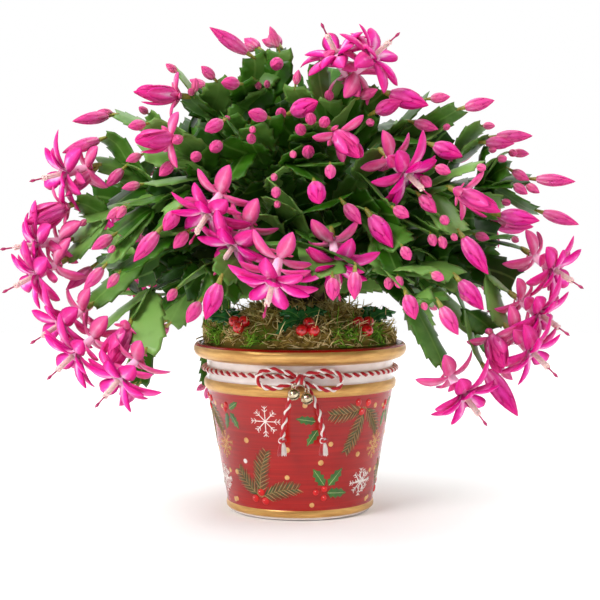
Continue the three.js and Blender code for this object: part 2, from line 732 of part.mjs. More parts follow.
// Root stock: the old woody base that the stems share, with a rounded head
function stockSolid(clearance) {
  const wide = STOCK_RADIUS + clearance;
  const head = CROWN_HEIGHT + HEAD_RADIUS;
  return solidOf(stoodUp(turned([
    [0, STOCK_DEPTH - clearance], [wide, STOCK_DEPTH - clearance], [wide, CROWN_HEIGHT + 12],
    [wide * 0.6, head - 2.5], [0, head],
  ], 10)));
}

// Crown: root stock with the stump of each stem
function crownSolid(stems) {
  const stumps = stems.map((stem) => {
    const inner = fountainPoint(stem, HEAD_RADIUS - 4);
    const outer = fountainPoint(stem, STUMP_REACH);
    const way = outer.clone().sub(inner);
    const reach = way.length();
    const stump = turned([[0, 0], [STUMP_RADIUS, 0], [STUMP_RADIUS, reach], [0, reach]], 3);
    return solidOf(laidAlong(stump, inner, way, 0));
  });
  return wasm.Manifold.union([stockSolid(0), ...stumps]);
}

// Height of the moss mound at a distance from the axis and a turn about it
function mossHeight(distance, turn) {
  const dome = Math.max(0, 1 - (distance / MOSS_RADIUS) ** 2) ** 0.8;
  const rough = Math.sin(5 * turn + distance * 0.21) * Math.sin(2 * turn + distance * 0.35);
  return MOSS_EDGE_HEIGHT + MOSS_RISE * dome + MOSS_ROUGHNESS * rough;
}

function mossSolid() {
  const mound = [0, 26, 44, 60, 71].reverse().map((distance) => [distance, MOSS_EDGE_HEIGHT + MOSS_RISE]);
  const bottom = SOIL_HEIGHT - 0.5 + SEAT_GAP;
  const profile = [
    [0, bottom], [GROOVE_RADIUS - WALL - 0.4, bottom], [RIM_RADIUS - 8, POT_HEIGHT - 3],
    [RIM_RADIUS - 7.6, MOSS_EDGE_HEIGHT], ...mound,
  ];
  const ring = moved(turned(profile, 16), (point) => {
    const distance = Math.hypot(point.x, point.z);
    const raised = point.y > MOSS_EDGE_HEIGHT + 1;
    const turn = distance > 0.01 ? Math.atan2(point.z, point.x) : 0;
    const folded = turn > Math.PI - 1e-4 ? -Math.PI : turn;
    return new THREE.Vector3(point.x, raised ? mossHeight(distance, folded) : point.y, point.z);
  });
  return solidOf(stoodUp(ring));
}

// Twine: laid round the pot in its groove
const TWINE_RING = GROOVE_RADIUS + TWINE_RADIUS + 0.3;

function twineRingSolid() {
  const section = [];
  for (let i = 0; i <= 4; i += 1) {
    const turn = ((i % 4) / 4) * 2 * Math.PI;
    section.push([TWINE_RING - TWINE_RADIUS * Math.cos(turn), TWINE_HEIGHT - TWINE_RADIUS * Math.sin(turn)]);
  }
  return solidOf(stoodUp(turned(section, POT_SIDES)));
}

// A length of twine along points chosen by hand
function twineSolid(points, steps, sides, clearance) {
  const section = new THREE.Shape();
  const radius = TWINE_RADIUS + clearance;
  for (let i = 0; i < sides; i += 1) {
    const turn = (i / sides) * 2 * Math.PI;
    const corner = [radius * Math.cos(turn), radius * Math.sin(turn)];
    if (i) section.lineTo(...corner);
    else section.moveTo(...corner);
  }
  const extrudePath = new THREE.CatmullRomCurve3(points.map((point) => new THREE.Vector3(...point)));
  return solidOf(new THREE.ExtrudeGeometry(section, { steps, extrudePath, bevelEnabled: false }));
}

// A point in front of the pot, at an across, a height and a distance from the pot's axis
function beforePot(across, height, out) {
  return [out * Math.sin(across / out), -out * Math.cos(across / out), height];
}

// Each loop of the bow, across and up from the knot: its two ends lie in the knot, clear of each other
const BOW_LOOP_LEFT = [
  [-1, 2.3], [-9, 5], [-20, 7], [-29, 5.4], [-33, 0], [-29, -5.5], [-20, -7], [-10, -4.4], [-1, -2.3],
];
const BOW_LOOP_RIGHT = [
  [1, 2.3], [9, 4.7], [20, 6], [29, 3.5], [32.5, -2], [28, -7.5], [19, -8], [9, -4.6], [1, -2.3],
];

function bowSolid(clearance) {
  const loops = [BOW_LOOP_LEFT, BOW_LOOP_RIGHT].map((loop) => twineSolid(
    loop.map(([across, up]) => beforePot(across, BOW_HEIGHT + up, BOW_OUT)), 11, 5, clearance,
  ));
  const knot = moved(new THREE.SphereGeometry(1, 8, 6), (point) => new THREE.Vector3(
    point.x * (KNOT_HALF_WIDTH + clearance),
    -point.z * (KNOT_HALF_DEPTH + clearance) - KNOT_OUT,
    point.y * (KNOT_HALF_HEIGHT + clearance) + BOW_HEIGHT,
  ));
  return wasm.Manifold.union([solidOf(knot), ...loops]);
}

// The two free ends of the twine, from the bow's knot down
const TAIL_ROUTES = {
  left: [
    [-2.6, -83, 109], [-6.2, -80.8, 101], [-8.8, -79.8, 92],
    [-10.8, -TAIL_OUT, 84], [-13.3, -TAIL_OUT, TAIL_END_HEIGHT],
  ],
  right: [
    [2.8, -83, 109], [8.2, -80.8, 101], [12.2, -79.8, 92.5],
    [15, -TAIL_OUT, 84], [17.8, -TAIL_OUT, TAIL_END_HEIGHT],
  ],
};

function tailSolid(route) {
  return largestBody(twineSolid(route, 8, 8, 0).subtract(bowSolid(SEAT_GAP)));
}

// Knot and frayed tassel at the end of a tail
function endKnotSolid(route) {
  const [x, y] = route[route.length - 1];
  const profile = [[0, 0], [2, 0], [3.4, 2.6], [2.2, 5.4], [3.2, 9], [4, 13.5], [0, 13.5]];
  const form = moved(turned(profile, 6), (point) => new THREE.Vector3(
    x + point.x, y + point.z, TAIL_END_HEIGHT - SEAT_GAP - point.y,
  ));
  return solidOf(form);
}

// Jingle bell: a thin ball with a slot across its lower half, and a wire up to the knot
const BELLS = {
  left: { x: -4.6, z: 101.6 },
  right: { x: 5.2, z: 98.4 },
};

function ballSolid(radius, sides, rings) {
  return solidOf(stoodUp(new THREE.SphereGeometry(radius, sides, rings)));
}

function bellSolid(bell) {
  const slot = solidOf(new THREE.BoxGeometry(BELL_RADIUS * 1.5, 0.9, BELL_RADIUS * 2));
  const foot = new THREE.Vector3(bell.x, -BELL_OUT, bell.z + BELL_RADIUS - 0.4);
  const way = new THREE.Vector3(0, -KNOT_OUT, BOW_HEIGHT).sub(foot);
  const reach = way.length();
  const wire = turned([[0, 0], [WIRE_RADIUS, 0], [WIRE_RADIUS, reach], [0, reach]], 4);
  return largestBody(ballSolid(BELL_RADIUS, 8, 5)
    .subtract(ballSolid(BELL_RADIUS - BELL_WALL, 6, 4))
    .subtract(slot.translate([0, 0, -BELL_RADIUS]))
    .translate([bell.x, -BELL_OUT, bell.z])
    .add(solidOf(laidAlong(wire, foot, way, 0)))
    .subtract(bowSolid(SEAT_GAP)));
}

function pelletSolid(bell) {
  const seat = BELL_RADIUS - BELL_WALL - PELLET_RADIUS - SEAT_GAP;
  return ballSolid(PELLET_RADIUS, 6, 4).translate([bell.x, -BELL_OUT, bell.z - seat * 0.9]);
}

// Holly: where each pick stands in the moss, its leaves and its berries
const HOLLY_PICKS = {
  left: {
    stalk: [-50, -43],
    leaves: [{ turn: 100, lift: 52 }, { turn: 165, lift: 34 }],
    berries: [[-43, -50, 0], [-50.5, -47.5, 0], [-45.5, -55, -3]],
  },
  middle: {
    stalk: [1, -62],
    leaves: [{ turn: 140, lift: 36 }, { turn: 20, lift: 40 }, { turn: 205, lift: 4 }],
    berries: [[6.5, -68, 0], [1.8, -74, -2], [10, -73.5, -2]],
  },
  right: {
    stalk: [54, -38],
    leaves: [{ turn: 15, lift: 48 }, { turn: 75, lift: 55 }],
    berries: [[45, -50, 0], [52.5, -46.5, 0], [51, -54, -3]],
  },
};

// Half a holly leaf's outline: share of its length and of its half width, spine after spine
const HOLLY_EDGE = [[0.02, 0.14], [0.3, 1], [0.45, 0.5], [0.7, 0.92], [1, 0]];

function hollyLeafSolid(foot, leaf) {
  const upper = HOLLY_EDGE.map(([along, wide]) => new THREE.Vector2(
    along * HOLLY_LENGTH, wide * HOLLY_HALF_WIDTH,
  ));
  const lower = upper.slice(0, -1).reverse().map((point) => new THREE.Vector2(point.x, -point.y));
  const outline = new THREE.Shape([...upper, ...lower]);
  const blade = new THREE.ExtrudeGeometry(outline, { depth: HOLLY_THICK, bevelEnabled: false });
  const turn = leaf.turn * RAD;
  return solidOf(moved(blade, (point) => {
    const lift = (leaf.lift - point.x * 1.4) * RAD;
    const out = point.x * Math.cos(lift) - point.z * Math.sin(lift);
    const up = point.x * Math.sin(lift) + point.z * Math.cos(lift) + 0.02 * point.y * point.y;
    return new THREE.Vector3(
      foot.x + out * Math.cos(turn) - point.y * Math.sin(turn),
      foot.y + out * Math.sin(turn) + point.y * Math.cos(turn),
      foot.z + up,
    );
  }));
}

// A straight wire or stalk that stands in a plain hole in the moss
function stalkSolid([x, y], top, clearance) {
  const radius = STALK_RADIUS + clearance;
  const depth = STALK_DEPTH + clearance;
  const rod = new THREE.CylinderGeometry(radius, radius, depth, 4);
  return solidOf(stoodUp(rod)).translate([x, y, top - depth / 2]);
}

const mossUnder = ([x, y]) => mossHeight(Math.hypot(x, y), Math.atan2(y, x));

function hollyLeavesSolid(pick) {
  const top = mossUnder(pick.stalk) + 4;
  const foot = new THREE.Vector3(...pick.stalk, top - 1.2);
  const leaves = pick.leaves.map((leaf) => hollyLeafSolid(foot, leaf));
  return wasm.Manifold.union([stalkSolid(pick.stalk, top, 0), ...leaves]);
}

function hollyBerriesSolid(pick) {
  const level = mossUnder(pick.berries[0]) + BERRY_RADIUS + 2;
  const balls = pick.berries.map(([x, y, down]) => solidOf(new THREE.IcosahedronGeometry(BERRY_RADIUS))
    .translate([x, y, level + down]));
  return wasm.Manifold.union([stalkSolid(pick.berries[0].slice(0, 2), level, 0), ...balls]);
}

// The plain holes in the moss: a flared one for the crown, and one for each stalk and wire
function mossHoles() {
  const low = SOIL_HEIGHT - 2;
  const high = MOSS_EDGE_HEIGHT + MOSS_RISE + 4;
  const narrow = STOCK_RADIUS + SEAT_GAP;
  const flare = turned([
    [0, low], [narrow, low], [narrow, CROWN_HEIGHT - 6], [STOCK_RADIUS + 18, high], [0, high],
  ], 10);
  const stalks = Object.values(HOLLY_PICKS).flatMap((pick) => [
    stalkSolid(pick.stalk, mossUnder(pick.stalk) + 4, SEAT_GAP),
    stalkSolid(pick.berries[0].slice(0, 2), mossUnder(pick.berries[0]) + BERRY_RADIUS + 2, SEAT_GAP),
  ]);
  return wasm.Manifold.union([solidOf(stoodUp(flare)), ...stalks]);
}

// The plant's limbs and flowers, kept clear of one another

const TWISTS_TO_TRY = [0, 25, -25, 50, -50, 75, -75, 90];
const WIDTHS_TO_TRY = [1, 0.75, 0.55, 0.38, 0.25];

// How much of a limb lies in the others of its own stem
function ownCrossing(solid, done) {
  const box = solid.boundingBox();
  return done.filter((one) => boxesMeet(box, one.boundingBox()))
    .reduce((sum, one) => sum + one.intersect(solid).volume(), 0);
}

// The turn and width at which a limb crosses no other piece and little of its own stem, or null
function clearFit(limb, done) {
  const { piece, joint } = limb;
  if (joint) {
    const { width } = courseFrame(courseOf(joint.limb), joint.share, joint.limb.twist);
    limb.shift = width.multiplyScalar(limb.step);
  }
  for (const narrow of WIDTHS_TO_TRY) {
    let best = null;
    for (const turn of TWISTS_TO_TRY) {
      const twist = limb.twist + turn * RAD;
      const solid = limbSolid(limb, twist, narrow, 0);
      if (crosses(piece, solid)) continue;
      const own = ownCrossing(solid, done);
      if (!best || own < best.own) best = { twist, narrow, solid, own };
    }
    if (best) return best;
  }
  return null;
}

// A limb turned, narrowed or cut if it must be, so that it stays clear of every other piece
function standLimb(limb, done) {
  const fit = clearFit(limb, done);
  const { twist, narrow } = fit ?? { twist: limb.twist, narrow: WIDTHS_TO_TRY[WIDTHS_TO_TRY.length - 1] };
  Object.assign(limb, { twist, narrow, stands: true });
  stand(limb.piece, limbSolid(limb, twist, narrow, SEAT_GAP));
  return fit ? fit.solid : cutClear(limb.piece, limbSolid(limb, twist, narrow, 0));
}

// A flower's seat on the end of its segment, and a way that doesn't turn back on it
function seatFlower(flower, tip, limb) {
  const frame = courseFrame(courseOf(limb), 1, limb.twist);
  const aside = flower.base.clone().sub(tip.point).dot(frame.width);
  const most = SEGMENT_HALF_WIDTH * limb.narrow * 0.5;
  const base = tip.point.clone().addScaledVector(frame.width, THREE.MathUtils.clamp(aside, -most, most));
  const way = flower.way.clone();
  while (way.dot(frame.along) < MOST_TURNED_BACK) way.addScaledVector(frame.along, 0.2).normalize();
  return { ...flower, base, way };
}

const TILTS_TO_TRY = [[0, 0], [0.35, 0], [-0.35, 0], [0, 0.35], [0, -0.35], [0.6, 0.3], [-0.6, 0.3]];

// The first tilt of a flower at which its solid is clear, or null
function clearTilt(piece, flower, build) {
  const { across, normal } = frameAlong(flower.way, new THREE.Vector3(0, 0.1, 1));
  for (const [a, b] of TILTS_TO_TRY) {
    const way = flower.way.clone().addScaledVector(across, a).addScaledVector(normal, b).normalize();
    const tilted = { ...flower, way };
    if (!crosses(piece, build(tilted, 0))) return tilted;
  }
  return null;
}

function standBud(piece, flower) {
  for (const scale of [1, 0.75, 0.5]) {
    const build = (one, clearance) => budSolid(one, scale, clearance);
    const clear = clearTilt(piece, flower, build);
    if (clear) {
      stand(piece, build(clear, SEAT_GAP));
      return [build(clear, 0)];
    }
  }
  return [];
}

// Every bend, swing and length in which a petal may clear its neighbours, the fullest first
const PETAL_FITS = [1, 0.8, 0.6].flatMap((stretch) => [0, -20, 20, -40, 38, -62].flatMap((lean) => (
  [0, 20, -20].map((swing) => ({ stretch, lean, swing: swing * RAD }))
)));

function tubeSolid(flower, clearance) {
  const profile = tubeProfile(flower.kind, flower.foot, clearance);
  return solidOf(laidAlong(turned(profile, 4), flower.base, flower.way, 0));
}

// Tube, then petal by petal, each bent or shortened where it would cross another piece
function standBloom(piece, flower) {
  const set = clearTilt(piece, flower, tubeSolid) ?? flower;
  const solids = [cutClear(piece, tubeSolid(set, 0))];
  stand(piece, tubeSolid(set, SEAT_GAP));
  const tiers = flower.kind === 'bloom' ? BLOOM_TIERS : OPENING_TIERS;
  tiers.forEach((tier, level) => {
    for (let i = 0; i < tier.count; i += 1) {
      const turn = ((i + level * 0.45) / tier.count) * 2 * Math.PI;
      const build = (fit, clearance) => (
        petalSolid(set, { ...tier, lean: tier.lean + fit.lean }, turn + fit.swing, fit.stretch, clearance)
      );
      const fit = PETAL_FITS.find((one) => !crosses(piece, build(one, 0)));
      if (fit) {
        solids.push(build(fit, 0));
        stand(piece, build(fit, SEAT_GAP));
      }
    }
  });
  return solids;
}

const pad2 = (number) => String(number).padStart(2, '0');

const draw = seededDraw(GROWTH_SEED);
const tips = [...frontTips(draw), ...backTips(draw, BACK_TIPS, 0)];
for (const tip of tips) tip.lean = leanOf(tip.point);
const stems = stemsFor(tips);
stems.forEach((stem, i) => {
  stem.piece = `stem_${pad2(i + 1)}`;
  stem.limbs = limbsOf(stem, draw);
});

const hollyNames = Object.keys(HOLLY_PICKS);
const hollyLeaves = hollyNames.map((name) => hollyLeavesSolid(HOLLY_PICKS[name]));
const hollyBerries = hollyNames.map((name) => hollyBerriesSolid(HOLLY_PICKS[name]));
const moss = largestBody(mossSolid().subtract(mossHoles()));

addPart('pot', potSolid(), PALETTE.glaze, 0.2);
addPart('soil', soilSolid(), PALETTE.soil, 0.95);
addPart('moss', moss, PALETTE.moss, 0.95);
addPart('crown', crownSolid(stems), PALETTE.bark, 0.8);

stand('pot', potSolid());
stand('moss', moss);
hollyLeaves.forEach((solid) => stand('holly', solid));

const grown = new Map(stems.map((stem) => [stem.piece, []]));
const blooms = [];

function growLimb(limb) {
  const solids = grown.get(limb.piece);
  solids.push(standLimb(limb, solids));
}

// Whether a limb finds a fair width, on a parent that stands
function hasRoom(limb) {
  const fit = clearFit(limb, grown.get(limb.piece));
  return limb.joint.limb.stands && fit && fit.narrow > LEAST_INNER_WIDTH;
}

// The flowers on some limbs: open blooms, a piece each in front, then half-open ones, then large buds
function growFlowers(limbs) {
  const seated = limbs.flatMap((limb) => limb.tip.flowers.map((flower) => (
    { piece: limb.piece, flower: seatFlower(flower, limb.tip, limb) }
  )));
  const ofKind = (wanted) => seated.filter(({ flower }) => flower.kind === wanted);
  for (const { piece, flower } of ofKind('bloom')) {
    if (flower.front) {
      const apart = `bloom_${pad2(blooms.length + 1)}`;
      const solids = standBloom(apart, { ...flower, foot: SEAT_GAP });
      blooms.push({ piece: apart, solid: largestBody(wasm.Manifold.union(solids)) });
    } else {
      grown.get(piece).push(...standBloom(piece, { ...flower, foot: -ROOT_SUNK }));
    }
  }
  for (const { piece, flower } of ofKind('opening')) {
    grown.get(piece).push(...standBloom(piece, { ...flower, foot: -ROOT_SUNK }));
  }
  for (const { piece, flower } of ofKind('bud')) {
    if (flower.width >= LEAST_BUD_WIDTH) grown.get(piece).push(...standBud(piece, flower));
  }
}

// The limbs from the crown first, so that each finds room there, then their forks, then the flowers
for (const stem of stems) growLimb(stem.limbs[0]);
for (const stem of stems) stem.limbs.slice(1).forEach(growLimb);
growFlowers(stems.flatMap((stem) => stem.limbs));

// More tips behind and inside the dome, from the joints that the stems have by now, wherever they stand clear
for (const tip of [...backTips(draw, MORE_BACK_TIPS, MORE_BACK_TURN), ...innerTips(draw, INNER_TIPS)]) {
  tip.lean = leanOf(tip.point);
  const stem = stemNear(stems, tip);
  const joint = bestJoint(stem.limbs, tip);
  if (!joint) continue;
  const limb = limbTo(stem, tip, joint, draw);
  stem.limbs.push(limb);
  if (hasRoom(limb)) {
    growLimb(limb);
    growFlowers([limb]);
  }
}

for (const [piece, solids] of grown) {
  addPart(piece, largestBody(wasm.Manifold.union(solids)), PALETTE.pad, 0.5);
}
for (const { piece, solid } of blooms) addPart(piece, solid, PALETTE.petal, 0.45);
hollyNames.forEach((name, i) => {
  addPart(`holly_leaves_${name}`, hollyLeaves[i], PALETTE.holly, 0.35);
  addPart(`holly_berries_${name}`, hollyBerries[i], PALETTE.berry, 0.2);
});
addPart('twine_band', twineRingSolid(), PALETTE.twine, 0.9);
addPart('bow', bowSolid(0), PALETTE.twine, 0.9);
for (const side of ['left', 'right']) {
  addPart(`tail_${side}`, tailSolid(TAIL_ROUTES[side]), PALETTE.twine, 0.9);
  addPart(`end_knot_${side}`, endKnotSolid(TAIL_ROUTES[side]), PALETTE.twine, 0.9);
  addPart(`bell_${side}`, bellSolid(BELLS[side]), PALETTE.brass, 0.3, 0.9);
  addPart(`pellet_${side}`, pelletSolid(BELLS[side]), PALETTE.brass, 0.4, 0.9);
}

export default plant;
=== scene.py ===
"""Christmas cactus in full bloom in a glazed pot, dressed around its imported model.

Lengths are in millimetres, in the model's own frame, and turn to metres as a mesh or a light is made.
"""
from functools import cache
from math import acos, asin, atan2, cos, floor, hypot, inf, pi, radians, sin, sqrt

import bpy
import numpy as np
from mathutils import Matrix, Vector
from numpy.linalg import norm


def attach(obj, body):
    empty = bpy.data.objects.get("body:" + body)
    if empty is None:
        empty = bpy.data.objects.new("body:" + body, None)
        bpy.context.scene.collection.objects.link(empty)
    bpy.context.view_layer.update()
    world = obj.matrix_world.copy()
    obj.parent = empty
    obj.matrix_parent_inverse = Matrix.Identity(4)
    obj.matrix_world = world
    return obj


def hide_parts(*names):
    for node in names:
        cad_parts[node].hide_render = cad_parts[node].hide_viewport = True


bl_info = {
    "name": "Potted Christmas Cactus",
    "version": (1, 0, 0),
    "blender": (4, 5, 0),
    "location": "3D View > Sidebar > Cactus",
    "description": "Builds a flowering christmas cactus in its glazed pot around a packed frame",
    "category": "Add Mesh",
}

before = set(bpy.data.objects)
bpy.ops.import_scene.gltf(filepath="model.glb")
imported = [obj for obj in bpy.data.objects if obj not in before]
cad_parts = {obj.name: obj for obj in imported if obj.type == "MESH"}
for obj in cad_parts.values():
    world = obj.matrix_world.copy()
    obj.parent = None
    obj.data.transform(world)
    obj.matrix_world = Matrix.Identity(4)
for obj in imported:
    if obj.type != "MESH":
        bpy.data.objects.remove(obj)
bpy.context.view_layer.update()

MM = 0.001

# Pot
POT_HEIGHT = 134
RIM_RADIUS = 85
BASE_RADIUS = 57
BODY_TOP_RADIUS = 74
BODY_TOP_HEIGHT = 97
GROOVE_RADIUS = 74.5
GROOVE_BOTTOM = 106.5
GROOVE_TOP = 121.5
FLOOR_THICK = 8
POT_SIDES = 160
BODY_FOOT_HEIGHT = 8.5
BODY_FOOT_RADIUS = BASE_RADIUS + 1.2
# Its turned outline, up outside and down inside, in steps out and up from places that the sizes give
POT_PROFILE = [
    (radius + out, height + up) for radius, height, steps in (
        (0, 0, [(0.5, 0.02), (40, 0.02)]),
        (BASE_RADIUS, 0, [
            (-2.5, 0.02), (-0.8, 0.5), (0, 1.6), (0.2, 2.2), (1.3, 2.7), (2, 3.6), (2.2, 5.2), (2, 7),
            (1.6, 8), (1.3, 8.6), (1.7, 11),
        ]),
        (BASE_RADIUS + 1.7, 11, [
            ((BODY_TOP_RADIUS - BASE_RADIUS - 1.7) * i / 12, (BODY_TOP_HEIGHT - 12) * i / 12)
            for i in range(1, 13)
        ]),
        (BODY_TOP_RADIUS, BODY_TOP_HEIGHT, [
            (0.3, 0.2), (1.4, 0.9), (2.4, 2.2), (2.8, 4), (2.8, 6.4), (2.3, 8), (1.4, 9.1),
        ]),
        (GROOVE_RADIUS, GROOVE_BOTTOM, [(0.1, 0.3), (0, 1.5)]),
        (GROOVE_RADIUS, GROOVE_TOP, [(0, -1.5), (0.1, -0.3)]),
        (RIM_RADIUS, POT_HEIGHT, [
            (-9.4, -12.3), (-6.4, -11.9), (-3.4, -10.8), (-1.2, -8.8), (-0.1, -6.2), (0, -4), (-0.7, -1.8),
            (-2.1, -0.4), (-3.8, 0), (-5.4, -0.6), (-6.4, -2), (-7.4, -5), (-10, -10), (-14.2, -16),
            (-15.4, -30), (-25, -84), (-32, -125),
        ]),
        (0, FLOOR_THICK, [(0.5, 0)]),
    ) for out, up in steps
]
# Heights between which it is white, gold or red
WHITE_BELOW = 2.4
FOOT_BAND_TOP = 8.3
RING_BOTTOM = 97
RING_TOP = 106.4
RIM_BOTTOM = 121.4
LIP_BOTTOM = 132.8

# Filling
SEAT_GAP = 0.3
SOIL_HEIGHT = 118
STOCK_RADIUS = 17
STOCK_DEPTH = 72
MOSS_EDGE_HEIGHT = 136
MOSS_RISE = 30
MOSS_RADIUS = 78
MOSS_ROUGHNESS = 2.2
MOSS_SIDES = 180
MOSS_RINGS = 44
LIP_RADIUS = 77
LIP_INNER_RADIUS = 75
TUFTS_WITHIN = 75
LIP_TUFTS_FROM = 65
MOSS_TUFTS = 330
TUFT_RADIUS = 4.4
STRAND_LENGTHS = (6, 15)
STRAND_RADII = (0.4, 0.85)
# Most strands stay within one distance from the axis, and the others within a longer one
STRANDS_INSIDE = 0.93
INSIDE_WITHIN = 77.5
OUTSIDE_WITHIN = 83.5
# Where tufts still grow: across and depth
FRESH_TUFTS = [(-59, -32), (-34, -62), (34, -58), (57, -42), (-20, 60), (50, 40), (-62, 20)]
FRESH_WITHIN = 11

# Growth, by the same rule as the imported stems
CROWN_HEIGHT = 150
STUMP_REACH = 36
HEAD_RADIUS = 21
MOST_TWIST_DEG = 90
SPREAD_START = 0.46
SPREAD_REACH = 200
SPREAD_POWER = 1.2
STEM_COUNT = 20
SETTLING_ROUNDS = 6
COURSE_STEP = 0.02
SIBLING_STEP = 2.4
SIBLING_COST = 20
LEAST_AHEAD = 0.3
LEAST_REACH = 14
DOME_HALF_WIDTH = 214
DOME_HALF_DEPTH = 186
DOME_RISE = 232
DOME_INNER = 0.8
SEGMENT_LENGTH = 42
SEGMENT_HALF_WIDTH = 12.5
WOODY_HALF_WIDTH = 2.4
WOODY_THICK = 4.4
NARROW_WITHIN = 50
BROAD_BEYOND = 125
ROOT_SUNK = 4
BUD_LENGTH_TO_WIDTH = 2.6
BLOOM_LENGTH = 62
OPENING_LENGTH = 44
SHARED_TIP = 30
SHARED_MOST = 5
MOST_TURNED_BACK = 0.3
BLOOM_TO_EYE = 1.12
EYE_DISTANCE = 1150
EYE_HEIGHT = 229
BACK_TIPS = 23
BACK_TOP_DEG = 3
BACK_LOW_DEG = 114
BACK_CROWDING = 0.62
BACK_HALF_WIDTH = 182
MORE_BACK_TIPS = 10
MORE_BACK_TURN = 1.1
BACK_LEAST_FILLING = 0.86
BACK_BUD_WIDTH = 7
TWIN_BUD_ASIDE = 5
BLOOMS_FROM_SHARE = 0.15
# Least sine of a turn that counts as behind
BEHIND_FROM = 0.12
# What a tip behind carries, by a draw from 0 to 1: open blooms, then half-open flowers, buds, and nothing
BLOOMS_BELOW = 0.24
OPENINGS_BELOW = 0.34
BARE_ABOVE = 0.9
INNER_TIPS = 10
INNER_STRIDE = 0.7549
INNER_SPAN = 1.3
INNER_LEAST = 0.5
INNER_MOST = 0.88
INNER_FLOOR = 178
INNER_CLEAR_OUT = 118
GROWTH_SEED = 20231
LOOKS_SEED = 7919
GOLDEN_TURN = pi * (3 - sqrt(5))

# Buds in front: across and height of the base and of the tip, and width, as seen at the pot's axis
FRONT_BUDS = [
    (-146, 315, -180, 308, 10), (-144, 319, -159, 321, 6), (-120, 315, -127, 320, 6),
    (-120, 308, -136, 304, 8), (-154, 297, -188, 283, 10), (-160, 273, -186, 247, 10),
    (-124, 284, -138, 277, 7), (-138, 275, -154, 256, 9), (-124, 260, -142, 256, 7),
    (-99, 279, -111, 265, 9), (-90, 291, -98, 285, 7), (-140, 243, -154, 231, 7),
    (-138, 240, -142, 233, 5), (-134, 238, -142, 227, 6), (-170, 232, -174, 226, 5),
    (-162, 219, -166, 213, 5), (-148, 211, -151, 205, 5), (-146, 221, -166, 207, 9),
    (-110, 226, -132, 197, 11), (-96, 241, -107, 222, 11), (-88, 224, -100, 208, 9),
    (-162, 197, -186, 175, 10), (-154, 197, -172, 175, 9), (-143, 191, -154, 176, 7),
    (-98, 177, -105, 167, 7), (-63, 186, -75, 151, 13), (-78, 169, -90, 149, 10),
    (-37, 360, -72, 382, 11), (-16, 364, -24, 384, 7), (-16, 356, -20, 346, 10),
    (-4, 336, -1, 350, 6), (-32, 334, -34, 340, 5), (-26, 335, -26, 341, 5),
    (-96, 347, -106, 354, 6), (-80, 333, -78, 347, 6), (-82, 330, -84, 335, 5),
    (-66, 341, -78, 352, 8), (-46, 339, -62, 338, 10), (-59, 311, -75, 300, 10),
    (-56, 313, -60, 309, 5), (-24, 312, -41, 315, 10), (-15, 311, -15, 318, 8),
    (-10, 315, 15, 323, 14), (-38, 292, -39, 298, 7), (-62, 293, -70, 285, 9),
    (-80, 283, -84, 279, 8), (14, 355, 28, 364, 8), (44, 327, 62, 334, 8),
    (42, 330, 44, 335, 5), (24, 326, 22, 332, 7), (66, 333, 102, 320, 15),
    (100, 327, 119, 328, 8), (56, 315, 80, 324, 12), (86, 310, 110, 302, 9),
    (114, 304, 118, 305, 5), (9, 307, 8, 314, 8), (16, 305, 20, 310, 8),
    (2, 299, -1, 305, 8), (54, 310, 57, 306, 6), (6, 281, 7, 288, 9),
    (24, 276, 24, 263, 8), (11, 263, 15, 243, 13), (102, 292, 128, 280, 13),
    (106, 274, 119, 268, 8), (96, 266, 103, 257, 8), (93, 253, 108, 236, 10),
    (125, 319, 154, 325, 10), (144, 306, 154, 305, 6), (150, 297, 184, 297, 10),
    (142, 293, 170, 291, 10), (150, 287, 155, 286, 5), (166, 285, 182, 283, 7),
    (157, 280, 163, 279, 6), (166, 278, 171, 276, 6), (141, 274, 146, 271, 6),
    (166, 272, 182, 262, 8), (168, 261, 180, 251, 8), (178, 261, 190, 252, 7),
    (182, 264, 218, 261, 10), (188, 239, 221, 227, 10), (154, 236, 190, 230, 13),
    (161, 246, 166, 244, 6), (113, 234, 116, 228, 7), (121, 220, 124, 215, 5),
    (138, 220, 150, 216, 7), (127, 222, 149, 187, 13), (104, 221, 106, 210, 7),
    (112, 219, 114, 208, 7), (169, 217, 173, 214, 5), (33, 247, 49, 227, 10),
    (53, 239, 74, 208, 14), (73, 242, 86, 233, 9), (81, 211, 87, 199, 8),
    (71, 186, 70, 176, 7), (78, 187, 79, 177, 7), (84, 175, 91, 152, 11),
    (98, 165, 100, 160, 5), (104, 189, 114, 184, 7), (110, 167, 126, 139, 11),
    (124, 187, 146, 159, 13), (128, 175, 134, 167, 7), (146, 116, 173, 75, 14),
    (26, 188, 26, 167, 10), (44, 195, 43, 167, 10), (-19, 258, -19, 248, 7),
    (-18, 246, -18, 241, 5), (-38, 305, -37, 300, 5), (-6, 286, -5, 280, 5),
    (-20, 268, -21, 262, 5),
]

# Flowers that are half open, in front: base and mouth, as seen at the pot's axis
FRONT_OPENING = [
    (-88, 329, -130, 331), (-96, 297, -127, 291), (-178, 245, -218, 227), (-135, 151, -150, 117),
    (24, 304, 46, 279), (119, 257, 157, 237), (152, 143, 158, 116),
]

# Open blooms in front: base and mouth, as seen at the pot's axis
FRONT_BLOOMS = [
    (-160, 275, -200, 264), (-182, 216, -208, 212), (-186, 200, -206, 189), (-166, 164, -204, 139),
    (-158, 144, -192, 112), (-124, 127, -148, 99), (-58, 261, -80, 223), (-36, 235, -54, 208),
    (-14, 211, -22, 180), (25, 224, 28, 197), (36, 341, 62, 363), (42, 336, 29, 360),
    (64, 287, 82, 269), (178, 208, 218, 180), (168, 173, 212, 140), (164, 147, 204, 106),
    (114, 115, 148, 68),
]

# Segments that end bare, in front: across and height of the tip
FRONT_BARE = [
    (-34, 361), (-12, 363), (14, 352), (-152, 283), (-144, 175), (-120, 160), (-30, 287), (78, 189),
]

